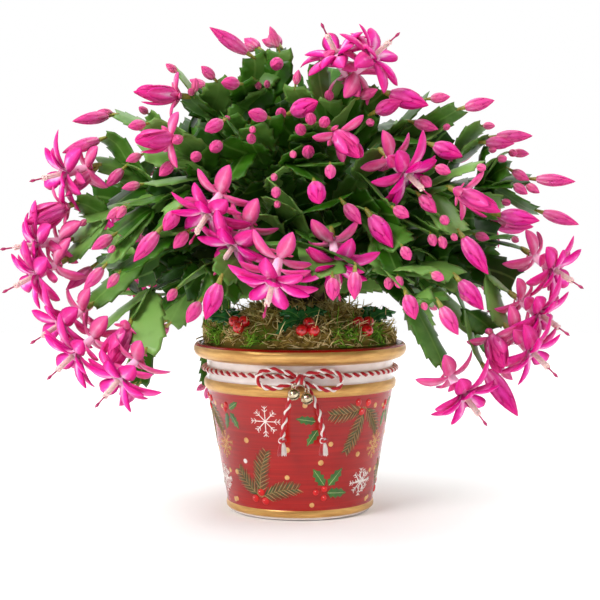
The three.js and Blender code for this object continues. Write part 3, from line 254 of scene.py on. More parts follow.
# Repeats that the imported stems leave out: bare tips inside the dome, and tips with buds behind
FILL_TIPS = 230
FILL_CLEAR_OUT = 190
BUDDED_TIPS = 30
BUDDED_TURN = 2.0
FACING_SPREAD_DEG = 60
JOINT_TWIST_DEG = 34
SHOOTS = 54
SHOOT_SPAN = 0.76
SHOOT_LEAST = 74
SHOOT_MOST = 126
OWN_SEGMENT_BEYOND = 9

# Twine, bow and bells
TWINE_RADIUS = 2.1
TWINE_PITCH = 11
BAND_PITCH = 7.6
TWINE_HEIGHT = 113.5
BOW_HEIGHT = 112
BOW_OUT = 81.4
KNOT_OUT = 84.2
TAIL_OUT = 79.5
TAIL_END_HEIGHT = 68
BELL_RADIUS = 4.7
BELL_WALL = 0.8
BELL_OUT = 88
BELL_SLOT_WIDTH = 1.6
BELL_SLOT_REACH = 0.95
BELL_SLOT_BELOW = 0.85
BELL_SEAM = 0.22
WIRE_RADIUS = 0.45
ROPE_SIDES = 20
# The two plies in a rope whose radius is 1: how far off its middle, how thick, and on which side
PLIES = [(0.36, 0.64, 0.0), (0.56, 0.44, pi)]
TUFT_THREADS = 34
TUFT_THREAD_RADIUS = 0.42
TAIL_ROUTES = {
    "left": [
        (-2.6, -83, 109), (-6.2, -80.8, 101), (-8.8, -79.8, 92),
        (-10.8, -TAIL_OUT, 84), (-13.3, -TAIL_OUT, TAIL_END_HEIGHT),
    ],
    "right": [
        (2.8, -83, 109), (8.2, -80.8, 101), (12.2, -79.8, 92.5),
        (15, -TAIL_OUT, 84), (17.8, -TAIL_OUT, TAIL_END_HEIGHT),
    ],
}
BOW_LOOPS = {
    "left": [
        (-1, 2.3), (-9, 5), (-20, 7), (-29, 5.4), (-33, 0), (-29, -5.5), (-20, -7), (-10, -4.4), (-1, -2.3),
    ],
    "right": [
        (1, 2.3), (9, 4.7), (20, 6), (29, 3.5), (32.5, -2), (28, -7.5), (19, -8), (9, -4.6), (1, -2.3),
    ],
}
BELLS = {"left": (-4.6, 101.6), "right": (5.2, 98.4)}
BELL_TILT_DEG = 24

# Holly
BERRY_RADIUS = 4.6
HOLLY_LENGTH = 23.5
HOLLY_HALF_WIDTH = 7.6
HOLLY_THICK = 0.9
# Share of a leaf's length, and its width there against its widest: spines stand out between bays
HOLLY_OUTLINE = [
    (0.0, 0.1), (0.06, 0.22), (0.14, 0.5), (0.2, 0.7), (0.26, 1.0), (0.31, 0.66), (0.38, 0.58), (0.44, 0.74),
    (0.5, 1.02), (0.55, 0.64), (0.62, 0.52), (0.68, 0.66), (0.73, 0.86), (0.78, 0.48), (0.86, 0.3),
    (0.94, 0.16), (1.0, 0.02),
]
STALK_RADIUS = 0.9
STALK_DEPTH = 14
HOLLY_PICKS = {
    "left": {
        "stalk": (-50, -43), "leaves": [(115, 60, -10), (165, 44, -50)],
        "berries": [(-43, -50, 0), (-50.5, -47.5, 0), (-47, -55, -4.5)],
    },
    "middle": {
        "stalk": (1, -62), "leaves": [(140, 46, -42), (30, 48, 42), (205, 8, -35)],
        "berries": [(6.5, -68, 0), (1.4, -74, -5), (10.4, -73.5, -5)],
    },
    "right": {
        "stalk": (54, -38), "leaves": [(20, 52, 48), (85, 62, 0)],
        "berries": [(45, -50, 0), (52.5, -46.5, 0), (51.5, -54, -6)],
    },
}

# Raised enamel on the pot: places across and up as seen at the pot's axis, sizes in millimetres
WHITE_FLAKES = [(-28.0, 69.0, 12), (48.0, 20.2, 11), (-58.4, 24.2, 9)]
GOLD_FLAKES = [(-59.2, 53.0, 9), (58.4, 48.2, 8.5)]
GOLD_DOTS = [
    (4.0, 81.8), (-43.2, 53.8), (-56.0, 29.8), (-10.4, 23.4), (-50.4, 6.6), (9.6, 1.0), (16.8, 35.4),
    (-10.4, 45.8), (24.8, 50.6), (46.4, 42.6), (60.0, 31.4), (52.8, 6.6), (-68.0, 84.2), (66.4, 82.6),
]
WHITE_DOTS = [(-44.0, 37.0)]
FIR_SPRAYS = [
    {"foot": (-31.5, 7.5), "ends": [(-27, 45), (-48.5, 31), (-1, 14)],
     "berries": [(-31.2, 11.4), (-35.6, 6.6), (-27.6, 4.2)]},
    {"foot": (52, 81), "ends": [(24, 74.5), (36, 44), (61, 62)],
     "berries": [(47.0, 84.4), (55.0, 84.4), (49.6, 77.0)]},
]
HOLLY_SPRIGS = [
    {"leaves": [((-57, 79.5), (-50.5, 84.5)), ((-58.4, 76), (-58.6, 63)), ((-56, 76), (-49, 63))],
     "berries": [(-59.6, 82.6), (-60.4, 79.6)]},
    {"leaves": [((12.5, 69), (-3.5, 71)), ((14, 62), (5.5, 49))], "berries": []},
    {"leaves": [((19.5, 17), (10.5, 30.5)), ((23, 17), (34, 31.5)), ((22, 11), (37, 11.5))],
     "berries": [(12.8, 11.4), (19.6, 14.2), (19.2, 6.8)]},
]
MOTIF_TURNS = 3
FLAKE_ARMS = 8
PAINTED_LEAF = [
    (0, 0.1), (0.08, 0.42), (0.2, 0.95), (0.3, 0.6), (0.45, 1.0), (0.56, 0.55), (0.7, 0.85), (0.82, 0.34),
    (0.92, 0.2), (1, 0.03),
]
# A painted berry's radius and height, then the place, radius and height of the light on it; heights in lifts
FIR_BERRY = (3.0, 4, (-0.8, 0.9), 0.5, 4.9)
HOLLY_BERRY = (2.5, 3.4, (-0.7, 0.8), 0.45, 4.2)
# Each enamel's material, its two tones, the size of its patches and its bump
ENAMELS = {
    "white": ("enamel_white", "#EADFD8", "#FFFAF4", 5, 0.08),
    "gold": ("enamel_gold", "#C98F45", "#F0C483", 4, 0.1),
    "fir": ("enamel_fir_green", "#223C1C", "#446434", 5, 0.1),
    "fir_light": ("enamel_fir_tan", "#8E7A45", "#C9A874", 4, 0.1),
    "holly": ("enamel_holly_green", "#184A20", "#4A8430", 9, 0.1),
    "holly_rib": ("enamel_holly_rib", "#9DB56A", "#D7DFA0", 4, 0.05),
    "berry": ("enamel_berry_red", "#C40A12", "#EE2420", 6, 0.05),
}

# Looks of the leafy stems and of the flowers
# Share of a segment's length, its width there against its widest, and how far its edges run ahead
PAD_STATIONS = [
    (0.0, 0.13, 0.0), (0.04, 0.32, 0.0), (0.12, 0.64, 0.0), (0.22, 0.84, 0.0), (0.32, 1.02, 0.03),
    (0.35, 0.88, 0.0), (0.46, 0.95, 0.0), (0.57, 1.09, 0.035), (0.605, 0.92, 0.0), (0.71, 0.94, 0.0),
    (0.81, 1.04, 0.04), (0.845, 0.84, 0.0), (0.94, 0.8, 0.03), (1.0, 0.68, 0.07),
]
PAD_ACROSS = [-1, -0.74, -0.34, 0, 0.34, 0.74, 1, 0.74, 0.34, 0, -0.34, -0.74]
PAD_LIFT = [0.12, 0.6, 0.9, 1.3, 0.9, 0.6, 0.12, -0.6, -0.85, -1.1, -0.85, -0.6]
PETAL_STATIONS = [
    (-0.06, 0.34), (0.06, 0.5), (0.2, 0.78), (0.38, 0.96), (0.56, 1.0), (0.72, 0.9),
    (0.85, 0.68), (0.95, 0.34), (1.0, 0.06),
]
PETAL_ACROSS = [-1, -0.5, 0, 0.5, 1, 0.5, 0, -0.5]
PETAL_LIFT = [0, 0.45, 0.5, 0.45, 0, -0.45, -0.5, -0.45]
OVARY_PROFILE = [(1.2, -2), (1.9, 0), (2.3, 3), (2.2, 6.5), (1.9, 8)]
TUBE_PROFILE = [
    (1.9, 7), (2.6, 11), (3.4, 17), (3.9, 23), (4.3, 28), (4.7, 31), (4.2, 30), (3.5, 26), (1.0, 22),
]
STYLE_PROFILE = [(0.6, 28), (0.6, 51), (1.1, 52.5), (1.2, 54), (0.1, 56)]
ANTHER_PROFILE = [(0.05, -0.9), (0.75, -0.3), (0.7, 0.5), (0.05, 1.1)]
TUBE_LOBES = 4
STAMENS = 30
STAMEN_FOOT = 27
STAMEN_REACH = 44
STAMEN_RADIUS = 0.45
# Tiers of petals: height on the tube, number, length, width, lean, curl, tone and distance out
BLOOM_TIERS = [
    (6, 3, 8, 5.5, 46, 50, 0.1, 1.6),
    (11, 4, 23, 12, 76, 84, 0.4, 2.2),
    (19, 2, 21, 11, 48, 76, 0.6, 3.2),
    (27, 6, 27, 13.5, 56, 78, 0.85, 3.6),
    (29, 5, 22, 13, 36, 72, 1.0, 3.8),
]
OPENING_TIERS = [
    (7, 3, 10, 6, 34, 50, 0.1, 1.8),
    (11, 3, 19, 8.5, 40, 66, 0.4, 3.4),
    (14, 4, 24, 10, 9, -10, 0.75, 5),
]
# Share of a bud's length, and its width there against its widest
BUD_FORM = [
    (0.0, 0.4), (0.07, 0.58), (0.16, 0.8), (0.28, 0.95), (0.42, 1.0), (0.56, 0.93), (0.7, 0.74),
    (0.82, 0.5), (0.92, 0.25), (0.98, 0.1), (1.0, 0.03),
]
# Rows of folded petals: where they start and end along the bud, how many, and half their width in radians
CLOSED_ROWS = [(0.0, 0.42, 4, 0.62), (0.04, 0.72, 4, 0.7), (0.16, 0.99, 4, 0.74)]
OPEN_ROWS = [(0.04, 0.8, 4, 0.74), (0.16, 0.99, 4, 0.8)]
SPINDLE_FOOT = 7
SPINDLE_RADIUS = 6.2

# Studio: places and sizes in metres
LIGHTS = {
    "key": ((-1.0, -1.2, 1.2), 0.8),
    "fill": ((1.3, -0.8, 0.6), 1.2),
    "top": ((0, 0.8, 3.0), 6.0),
}
LIGHTS_LOOK_AT = (0, 0, 0.2)
FLOOR_HALF = 1.8
FLOOR_DROP = 0.0004
SENSOR_WIDTH_MM = 36


def linear(code):
    """Linear red, green and blue of an sRGB hex colour."""
    parts = [int(code[i:i + 2], 16) / 255 for i in (1, 3, 5)]
    return tuple(c / 12.92 if c <= 0.04045 else ((c + 0.055) / 1.055) ** 2.4 for c in parts)


def seeded_draw(seed):
    """The same draws each time, from 0 to 1."""
    state = seed

    def draw():
        nonlocal state
        state = (state * 48271) % 2147483647
        return state / 2147483647

    return draw


UP = np.array([0, 0, 1.0])
ASKEW = np.array([0.1, 0.2, 1.0])
# A thin strand has three corners
THREE_CORNERS = np.array([0, 2.1, 4.2])


def points_at(x, y, z):
    """Points from their three coordinates, which are spread to one shape."""
    return np.stack(np.broadcast_arrays(x, y, z), axis=-1)


def unit(vector):
    return vector / max(norm(vector), 1e-12)


def round_turns(count):
    """So many turns in radians, evenly all the way round."""
    return np.arange(count) / count * 2 * pi


def frame_along(direction, side):
    """Three directions at right angles: along, across and normal."""
    along = unit(direction)
    normal = unit(np.cross(side, along))
    return along, unit(np.cross(along, normal)), normal


def added(name, data):
    """An object in the scene that holds a mesh, a light or a camera."""
    made = bpy.data.objects.new(name, data)
    bpy.context.scene.collection.objects.link(made)
    return made


class Skin:
    """Lofts gathered into one mesh, with named values at their corners."""

    def __init__(self, *value_names):
        self.points = []
        self.faces = []
        self.zones = []
        self.values = {name: [] for name in value_names}
        self.count = 0

    def lofts(self, rings, zone=0, capped=True, closed=False, **values):
        """Adds tubes of rings, shaped tubes x rings x corners x 3; zone may differ along any of these."""
        rings = np.asarray(rings, float)
        if rings.ndim == 3:
            rings = rings[None]
        tubes, steps, sides, _ = rings.shape
        index = self.count + np.arange(tubes * steps * sides).reshape(tubes, steps, sides)
        near = index if closed else index[:, :-1]
        far = np.roll(index, -1, axis=1) if closed else index[:, 1:]
        quads = np.stack([near, np.roll(near, -1, axis=2), np.roll(far, -1, axis=2), far], axis=-1)
        self.faces.extend(quads.reshape(-1, 4).tolist())
        self.zones.extend(np.broadcast_to(zone, quads.shape[:3]).ravel().tolist())
        if capped and not closed:
            for end in (index[:, 0, ::-1], index[:, -1]):
                self.faces.extend(end.tolist())
                self.zones.extend([int(np.ravel(zone)[0])] * tubes)
        for name, kept in self.values.items():
            value = np.asarray(values.get(name, 0.0), float)
            if value.ndim == 1:
                value = value[:, None]
            kept.append(np.broadcast_to(value, (tubes, steps, sides)).ravel())
        self.points.append(rings.reshape(-1, 3))
        self.count += tubes * steps * sides

    def piece(self, name, materials, slot, replaced=()):
        """The mesh as an object that rides on the model and stands for its nodes; its slot is not used."""
        mesh = bpy.data.meshes.new(name)
        mesh.from_pydata((np.concatenate(self.points) * MM).tolist(), [], self.faces)
        for key, kept in self.values.items():
            attribute = mesh.attributes.new(key, "FLOAT", "POINT")
            attribute.data.foreach_set("value", np.concatenate(kept).astype(np.float32))
        for material in materials:
            mesh.materials.append(material)
        mesh.polygons.foreach_set("material_index", self.zones)
        mesh.shade_smooth()
        mesh.update()
        made = added(name, mesh)
        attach(made, "root")
        if replaced:
            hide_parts(*replaced)
        return made


def turned_rings(profile, sides):
    """Rings about the upright axis through a profile of radius and height."""
    turns = round_turns(sides)
    profile = np.asarray(profile, float)
    radius, height = profile[:, :1], profile[:, 1:2]
    return points_at(radius * np.cos(turns), radius * np.sin(turns), height)


def placed(points, origin, right, along, front):
    """Local points moved to an origin, their second coordinate along."""
    return origin + points[..., :1] * right + points[..., 1:2] * along + points[..., 2:3] * front


# Materials


def link(tree, made, links):
    """Links a node's inputs to outputs, the first one where a whole node is given."""
    for key, source in links.items():
        tree.links.new(source.outputs[0] if hasattr(source, "outputs") else source, made.inputs[key])


def node(tree, kind, settings=None, links=None):
    """Adds a shader node, sets its properties, inputs and colour stops, and links its inputs."""
    made = tree.nodes.new("ShaderNode" + kind)
    for key, value in (settings or {}).items():
        if key == "stops":
            elements = made.color_ramp.elements
            while len(elements) < len(value):
                elements.new(0.5)
            for element, (position, colour) in zip(elements, value):
                element.position = position
                element.color = (*(linear(colour) if isinstance(colour, str) else colour), 1.0)
        elif isinstance(key, str) and hasattr(made, key):
            setattr(made, key, value)
        else:
            made.inputs[key].default_value = value
    link(tree, made, links or {})
    return made


def started(name, finish):
    """A material named for what it is, its even values set on the shader's own sockets."""
    material = bpy.data.materials.new(name)
    material.use_nodes = True
    tree = material.node_tree
    shader = tree.nodes["Principled BSDF"]
    for socket, value in finish.items():
        shader.inputs[socket].default_value = value
    return material, tree, shader


def per(size):
    """Texture scale at which one cell is so many millimetres."""
    return 1000 / size


def speckled(name, dark, light, size, finish, bump, stretch=(1, 1, 1)):
    """A material that varies between two colours in patches of a real size, with a bump of half that size."""
    material, tree, shader = started(name, finish)
    where = node(tree, "TexCoord")
    scaled = node(tree, "Mapping", {"Scale": stretch}, {"Vector": where.outputs["Object"]})
    cloud = node(tree, "TexNoise", {"Scale": per(size), "Detail": 4.0, "Roughness": 0.6}, {"Vector": scaled})
    colour = node(tree, "ValToRGB", {"stops": [(0.32, dark), (0.68, light)]}, {"Fac": cloud})
    fine = node(tree, "TexNoise", {"Scale": per(size / 2), "Detail": 3.0}, {"Vector": scaled})
    raised = node(tree, "Bump", {"Strength": 0.6, "Distance": bump * MM}, {"Height": fine})
    link(tree, shader, {"Base Color": colour, "Normal": raised})
    return material


def finish_node(name, material):
    """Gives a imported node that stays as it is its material."""
    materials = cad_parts[name].data.materials
    materials.clear()
    materials.append(material)


def pad_material(looks):
    """Waxy skin of a leaf-like stem: grown, so it varies softly, with a midrib, a thin brown edge and painted
    shade on the segments inside the plant.
    """
    material, tree, shader = started("cactus_skin_waxy", {
        "Roughness": 0.38, "IOR": 1.42, "Specular IOR Level": 0.32, "Subsurface Weight": 0.05,
        "Subsurface Scale": 0.002, "Coat Weight": 0.06, "Coat Roughness": 0.3,
    })
    tone, across, age = (
        node(tree, "Attribute", {"attribute_name": name}).outputs["Fac"]
        for name in ("tone", "across", "age")
    )
    where = node(tree, "TexCoord").outputs["Object"]
    # Soft patches as wide as a third of a segment, as the eye sees on a real one
    cloud = node(tree, "TexNoise", {"Scale": per(14), "Detail": 3.0}, {"Vector": where})
    mixed = node(tree, "Math", {"operation": "MULTIPLY_ADD", 1: 0.55}, {0: cloud, 2: tone})
    green = node(tree, "ValToRGB", {"stops": [
        (0.12, looks.pad_dark), (0.55, looks.pad_green), (1.0, looks.pad_light),
    ]}, {"Fac": mixed})
    side = node(tree, "Math", {"operation": "ABSOLUTE"}, {0: across})
    rib = node(tree, "MapRange", {
        "From Min": 0.03, "From Max": 0.11, "To Min": 0.45, "To Max": 0.0,
    }, {"Value": side})
    ribbed = node(tree, "Mix", {"data_type": "RGBA", 7: (*looks.pad_light, 1.0)},
                  {0: rib, 6: green})
    edge = node(tree, "MapRange", {"From Min": 0.95, "To Max": 0.45}, {"Value": side})
    edged = node(tree, "Mix", {"data_type": "RGBA", 7: (*looks.pad_edge, 1.0)},
                 {0: edge, 6: ribbed.outputs[2]})
    aged = node(tree, "Mix", {"data_type": "RGBA", 7: (*looks.bark, 1.0)}, {0: age, 6: edged.outputs[2]})
    # Cells of about 1 mm, drawn coarser than life so that they show
    grain = node(tree, "TexNoise", {"Scale": per(1.6), "Detail": 2.0}, {"Vector": where})
    raised = node(tree, "Bump", {"Strength": 0.22, "Distance": 0.25 * MM}, {"Height": grain})
    link(tree, shader, {"Base Color": aged.outputs[2], "Normal": raised})
    return material


def petal_material(looks):
    """Thin satin petal: deepest at its edges and tip, pale along its middle, letting some light through."""
    material, tree, shader = started("petal_satin", {
        "Roughness": 0.48, "IOR": 1.4, "Specular IOR Level": 0.2, "Subsurface Weight": 0.22,
        "Subsurface Scale": 0.003, "Subsurface Radius": (1.0, 0.35, 0.7),
    })
    tone, along, across = (
        node(tree, "Attribute", {"attribute_name": name}).outputs["Fac"]
        for name in ("tone", "along", "across")
    )
    where = node(tree, "TexCoord").outputs["Object"]
    cloud = node(tree, "TexNoise", {"Scale": per(5), "Detail": 3.0}, {"Vector": where})
    side = node(tree, "Math", {"operation": "ABSOLUTE"}, {0: across})
    edge = node(tree, "Math", {"operation": "MULTIPLY", 1: 0.42}, {0: side})
    tip = node(tree, "Math", {"operation": "MULTIPLY_ADD", 1: 0.4}, {0: along, 2: edge})
    rough = node(tree, "Math", {"operation": "MULTIPLY_ADD", 1: 0.3}, {0: cloud, 2: tip})
    depth = node(tree, "ValToRGB", {"stops": [
        (0.18, looks.petal_pale), (0.46, looks.petal_pink), (0.72, looks.petal_deep),
    ]}, {"Fac": rough})
    outer = node(tree, "ValToRGB", {"stops": [
        (0.15, looks.petal_pale), (0.55, looks.bud_rose), (1.0, looks.petal_pink),
    ]}, {"Fac": rough})
    colour = node(tree, "Mix", {"data_type": "RGBA"}, {0: tone, 6: outer, 7: depth})
    # Veins run along a petal, about 0.8 mm apart
    veins = node(tree, "Math", {"operation": "MULTIPLY", 1: 26.0}, {0: across})
    wave = node(tree, "Math", {"operation": "SINE"}, {0: veins})
    raised = node(tree, "Bump", {"Strength": 0.25, "Distance": 0.2 * MM}, {"Height": wave})
    link(tree, shader, {"Base Color": colour.outputs[2], "Normal": raised})
    return material


def brushed(name, finish, shrink, strokes, tones, strength):
    """A finish laid on by brush: three tones in level strokes, and a bump that follows them."""
    material, tree, shader = started(name, finish)
    where = node(tree, "TexCoord").outputs["Object"]
    stretched = node(tree, "Mapping", {"Scale": (shrink, shrink, 1.0)}, {"Vector": where})
    streaks = node(tree, "TexNoise", strokes, {"Vector": stretched})
    colour = node(tree, "ValToRGB", {"stops": tones}, {"Fac": streaks})
    raised = node(tree, "Bump", {"Strength": strength, "Distance": 0.2 * MM}, {"Height": streaks})
    link(tree, shader, {"Base Color": colour, "Normal": raised})
    return material


def glaze_material(looks):
    """Red earthenware glaze under a clear gloss coat, in brush strokes about 2 mm high and 70 mm long."""
    return brushed(
        "glazed_earthenware_red",
        {
            "Roughness": 0.26, "IOR": 1.5, "Specular IOR Level": 0.35, "Coat Weight": 0.15,
            "Coat Roughness": 0.08,
        },
        0.03, {"Scale": per(2.2), "Detail": 4.0, "Roughness": 0.65},
        [(0.3, looks.glaze_dark), (0.55, looks.glaze_red), (0.78, looks.glaze_light)], 0.12)


def gold_material(looks):
    """Gold lustre laid on by hand: satin, thinner in places, in streaks about 3 mm high and 25 mm long."""
    return brushed(
        "gold_lustre_brushed", {"Metallic": 0.55, "Roughness": 0.34},
        0.12, {"Scale": per(3), "Detail": 5.0, "Roughness": 0.7},
        [(0.3, looks.gold_dark), (0.55, looks.gold), (0.8, looks.gold_light)], 0.2)


def moss_material(looks):
    """Dried sheet moss: straw to dark brown by the strand, with painted shade at each strand's foot and at
    the mound's edge, green where the tufts still grow.
    """
    material, tree, shader = started("moss_dried", {"Roughness": 0.95, "Specular IOR Level": 0.2})
    tone, fresh = (
        node(tree, "Attribute", {"attribute_name": name}).outputs["Fac"] for name in ("tone", "fresh")
    )
    straw = node(tree, "ValToRGB", {"stops": [
        (0.0, looks.moss_dark), (0.5, looks.moss_brown), (1.0, looks.moss_straw),
    ]}, {"Fac": tone})
    green = node(tree, "ValToRGB", {
        "stops": [(0.0, looks.moss_green_dark), (1.0, looks.moss_green)],
    }, {"Fac": tone})
    colour = node(tree, "Mix", {"data_type": "RGBA"}, {0: fresh, 6: straw, 7: green})
    link(tree, shader, {"Base Color": colour.outputs[2]})
    return material


# Growth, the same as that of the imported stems


def spread_at(distance):
    """How much of its lean the fountain has spread by at a distance from the crown."""
    return SPREAD_START + (1 - SPREAD_START) * (distance / SPREAD_REACH) ** SPREAD_POWER


def fountain_point(lean_u, lean_v, distance):
    """A point of the fountain: a lean in two directions, and a distance from the crown."""
    from_upright = hypot(lean_u, lean_v) * spread_at(distance)
    turn = atan2(lean_v, lean_u)
    out = distance * sin(from_upright)
    up = distance * cos(from_upright)
    return np.array([out * cos(turn), out * sin(turn), CROWN_HEIGHT + up])


def lean_of(point):
    """The lean and the distance that give a point."""
    up = point[2] - CROWN_HEIGHT
    distance = sqrt(point[0] ** 2 + point[1] ** 2 + up ** 2)
    lean = acos(up / distance) / spread_at(distance)
    turn = atan2(point[1], point[0])
    return lean * cos(turn), lean * sin(turn), distance


def seen_at(across, height, depth):
    """The point at a depth that the eye sees at an across and height on the pot's axis."""
    scale = (EYE_DISTANCE + depth) / EYE_DISTANCE
    return np.array([across * scale, depth, EYE_HEIGHT + (height - EYE_HEIGHT) * scale])


def dome_depth(across, height, filling):
    """Depth of the dome's front in a line of sight, negative towards the eye."""
    rise = max(0, height - CROWN_HEIGHT) / DOME_RISE
    shrink = sqrt(max(0.02, 1 - rise * rise))
    side = across / (DOME_HALF_WIDTH * shrink)
    return -DOME_HALF_DEPTH * shrink * filling * sqrt(max(0, 1 - side * side))


def flower_of(kind, base, way, length, width=0, front=False):
    return {"kind": kind, "base": base, "way": way, "length": length, "width": width, "front": front}


def front_flower(kind, row, real_length, depth):
    """A flower in front: as long as it is or looks, whichever is more, so it leans towards the eye."""
    base = seen_at(row[0], row[1], depth)
    way = seen_at(row[2], row[3], depth) - base
    seen = norm(way)
    length = max(seen * BLOOM_TO_EYE, real_length)
    way[1] = -sqrt(length * length - seen * seen)
    return flower_of(kind, base, unit(way), length, row[4] if len(row) > 4 else 0, front=True)


def front_tips(draw):
    """Tips of the front: flowers that are close together share the end of one segment."""
    rows = [("bloom", row, 0) for row in FRONT_BLOOMS]
    rows += [("opening", row, OPENING_LENGTH) for row in FRONT_OPENING]
    rows += [("bud", row, row[4] * BUD_LENGTH_TO_WIDTH) for row in FRONT_BUDS]
    rows += [("bare", row, 0) for row in FRONT_BARE]
    tips = []
    for kind, row, real_length in rows:
        room = None if kind == "bloom" else next((
            one for one in tips if len(one["rows"]) < SHARED_MOST
            and hypot(one["across"] - row[0], one["height"] - row[1]) < SHARED_TIP
        ), None)
        if room:
            room["rows"].append((kind, row, real_length))
            continue
        filling = DOME_INNER + (1 - DOME_INNER) * draw()
        depth = dome_depth(row[0], row[1], filling)
        tips.append({"across": row[0], "height": row[1], "depth": depth, "rows": [(kind, row, real_length)]})
    for tip in tips:
        tip["point"] = seen_at(tip["across"], tip["height"], tip["depth"])
        tip["flowers"] = [
            front_flower(kind, row, length, tip["depth"])
            for kind, row, length in tip["rows"] if kind != "bare"
        ]
    return tips


def rear_flowers(point, turn, out, choice, wide, share):
    """What a tip behind carries: low down beside the pot only buds, since nothing open shows there."""
    open_here = point[2] > INNER_FLOOR
    if open_here and choice < BLOOMS_BELOW and share > BLOOMS_FROM_SHARE:
        return [flower_of("bloom", point, out, BLOOM_LENGTH)]
    if open_here and choice < OPENINGS_BELOW:
        return [flower_of("opening", point, out, OPENING_LENGTH)]
    if choice >= BARE_ABOVE:
        return []
    tall = wide * BUD_LENGTH_TO_WIDTH
    side = np.array([-sin(turn), cos(turn), 0])
    return [
        flower_of("bud", point, out, tall, wide),
        flower_of("bud", point + TWIN_BUD_ASIDE * side, unit(out + 0.8 * side), tall * 0.6, wide * 0.7),
    ]


def rear_tips(draw, count, first_turn):
    """Tips behind: turned by the golden angle, from the top of the dome down its back."""
    tips = []
    i = 0
    while len(tips) < count:
        turn = first_turn + i * GOLDEN_TURN
        i += 1
        filling = BACK_LEAST_FILLING + (1 - BACK_LEAST_FILLING) * draw()
        choice = draw()
        wide = BACK_BUD_WIDTH + 5 * draw()
        if sin(turn) < BEHIND_FROM:
            continue
        share = (len(tips) + 0.5) / count
        down = radians(BACK_TOP_DEG + (BACK_LOW_DEG - BACK_TOP_DEG) * share ** BACK_CROWDING)
        point = np.array([
            BACK_HALF_WIDTH * filling * sin(down) * cos(turn),
            DOME_HALF_DEPTH * filling * sin(down) * sin(turn),
            CROWN_HEIGHT + DOME_RISE * filling * cos(down) * (0.8 if down > pi / 2 else 1),
        ])
        out = unit(np.array([cos(turn), sin(turn), 0.6 - share * 1.7]))
        tips.append({"point": point, "flowers": rear_flowers(point, turn, out, choice, wide, share)})
    return tips


def stem_near(stems, tip):
    """The stem whose lean is nearest to that of a tip."""
    return min(stems, key=lambda stem: hypot(stem["u"] - tip["lean"][0], stem["v"] - tip["lean"][1]))


def stems_for(tips):
    """Each tip belongs to the stem whose lean is nearest, and stems settle in the middle of their tips."""
    stems = []
    for i in range(STEM_COUNT):
        lean = tips[floor((i + 0.5) * len(tips) / STEM_COUNT)]["lean"]
        stems.append({"u": lean[0], "v": lean[1], "tips": []})
    for _ in range(SETTLING_ROUNDS):
        for stem in stems:
            stem["tips"] = []
        for tip in tips:
            stem_near(stems, tip)["tips"].append(tip)
        for stem in stems:
            if stem["tips"]:
                for i, key in enumerate("uv"):
                    stem[key] = sum(tip["lean"][i] for tip in stem["tips"]) / len(stem["tips"])
    return [stem for stem in stems if stem["tips"]]


def half_width_at(distance):
    """Half the width that a segment has at a distance from the crown: old woody ones are narrow."""
    grown = min(1, max(0, (distance - NARROW_WITHIN) / (BROAD_BEYOND - NARROW_WITHIN)))
    return WOODY_HALF_WIDTH + (SEGMENT_HALF_WIDTH - WOODY_HALF_WIDTH) * grown, grown


def course_point(limb, share):
    """Where a limb's middle line runs, at a share of its length."""
    start, end = limb["from"], limb["to"]
    ease = share * share * (3 - 2 * share)
    point = fountain_point(
        start[0] + (end[0] - start[0]) * ease, start[1] + (end[1] - start[1]) * ease,
        start[2] + (end[2] - start[2]) * share,
    )
    return point + limb["shift"] * (1 - max(0, share)) ** 2


def course_frame(limb, share, twist):
    """A point of a limb's course, with its directions along, across and out of its flat side."""
    point = course_point(limb, share)
    ahead = course_point(limb, share + COURSE_STEP) - course_point(limb, share - COURSE_STEP)
    along, across, normal = frame_along(ahead, unit(np.array([-point[1], point[0], 0])))
    width = across * cos(twist) + normal * sin(twist)
    return point, along, width, np.cross(along, width)


def facing_twist(limb):
    """The twist at which a limb's last segment shows its flat side to the eye."""
    _, _, across, face = course_frame(limb, 1, 0)
    return atan2(across[1], face[1])


def some_twist(draw, spread_deg):
    """A twist drawn from a spread, either way."""
    return (draw() - 0.5) * radians(spread_deg)


def best_joint(limbs, tip):
    """The joint of a stem from which a tip is reached best: near, and not behind it."""
    best = None
    best_cost = inf
    for limb in limbs:
        for joint in limb["joints"]:
            way = tip["point"] - joint["point"]
            length = max(norm(way), 1e-6)
            ahead = way @ joint["along"] / length
            reach = tip["lean"][2] - joint["lean"][2]
            if ahead < LEAST_AHEAD or reach < LEAST_REACH or joint["taken"] > 1:
                continue
            cost = length * (1.6 - 0.6 * ahead) + joint["taken"] * SIBLING_COST
            if cost < best_cost:
                best, best_cost = joint, cost
    return best


def add_limb(limbs, stem, tip, joint, twist):
    """A limb from the crown or from a joint to a tip, with joints of its own."""
    start = joint["lean"] if joint else (stem["u"], stem["v"], STUMP_REACH + SEAT_GAP)
    shift = np.zeros(3)
    if joint:
        joint["taken"] += 1
        shift = joint["width"] * (SIBLING_STEP if joint["taken"] % 2 else -SIBLING_STEP)
    limb = {"from": start, "to": tip["lean"], "tip": tip, "shift": shift, "root": not joint, "twist": twist}
    middle = course_point(limb, 0.5)
    length = norm(course_point(limb, 0) - middle) + norm(middle - course_point(limb, 1))
    limb["count"] = max(1, floor(length / SEGMENT_LENGTH + 0.5))
    limb["length"] = length
    limb["joints"] = []
    for i in range(1, limb["count"]):
        point, along, width, _ = course_frame(limb, i / limb["count"], twist)
        limb["joints"].append({
            "point": point, "along": along, "width": width, "lean": lean_of(point), "taken": 0,
        })
    limbs.append(limb)
    return limb


def limbs_of(stem, draw):
    """The first limb runs from the crown to the farthest tip, and the others fork from its joints."""
    limbs = []
    for tip in sorted(stem["tips"], key=lambda one: -one["lean"][2]):
        joint = (best_joint(limbs, tip) or limbs[0]["joints"][0]) if limbs else None
        add_limb(limbs, stem, tip, joint, some_twist(draw, MOST_TWIST_DEG))
    return limbs


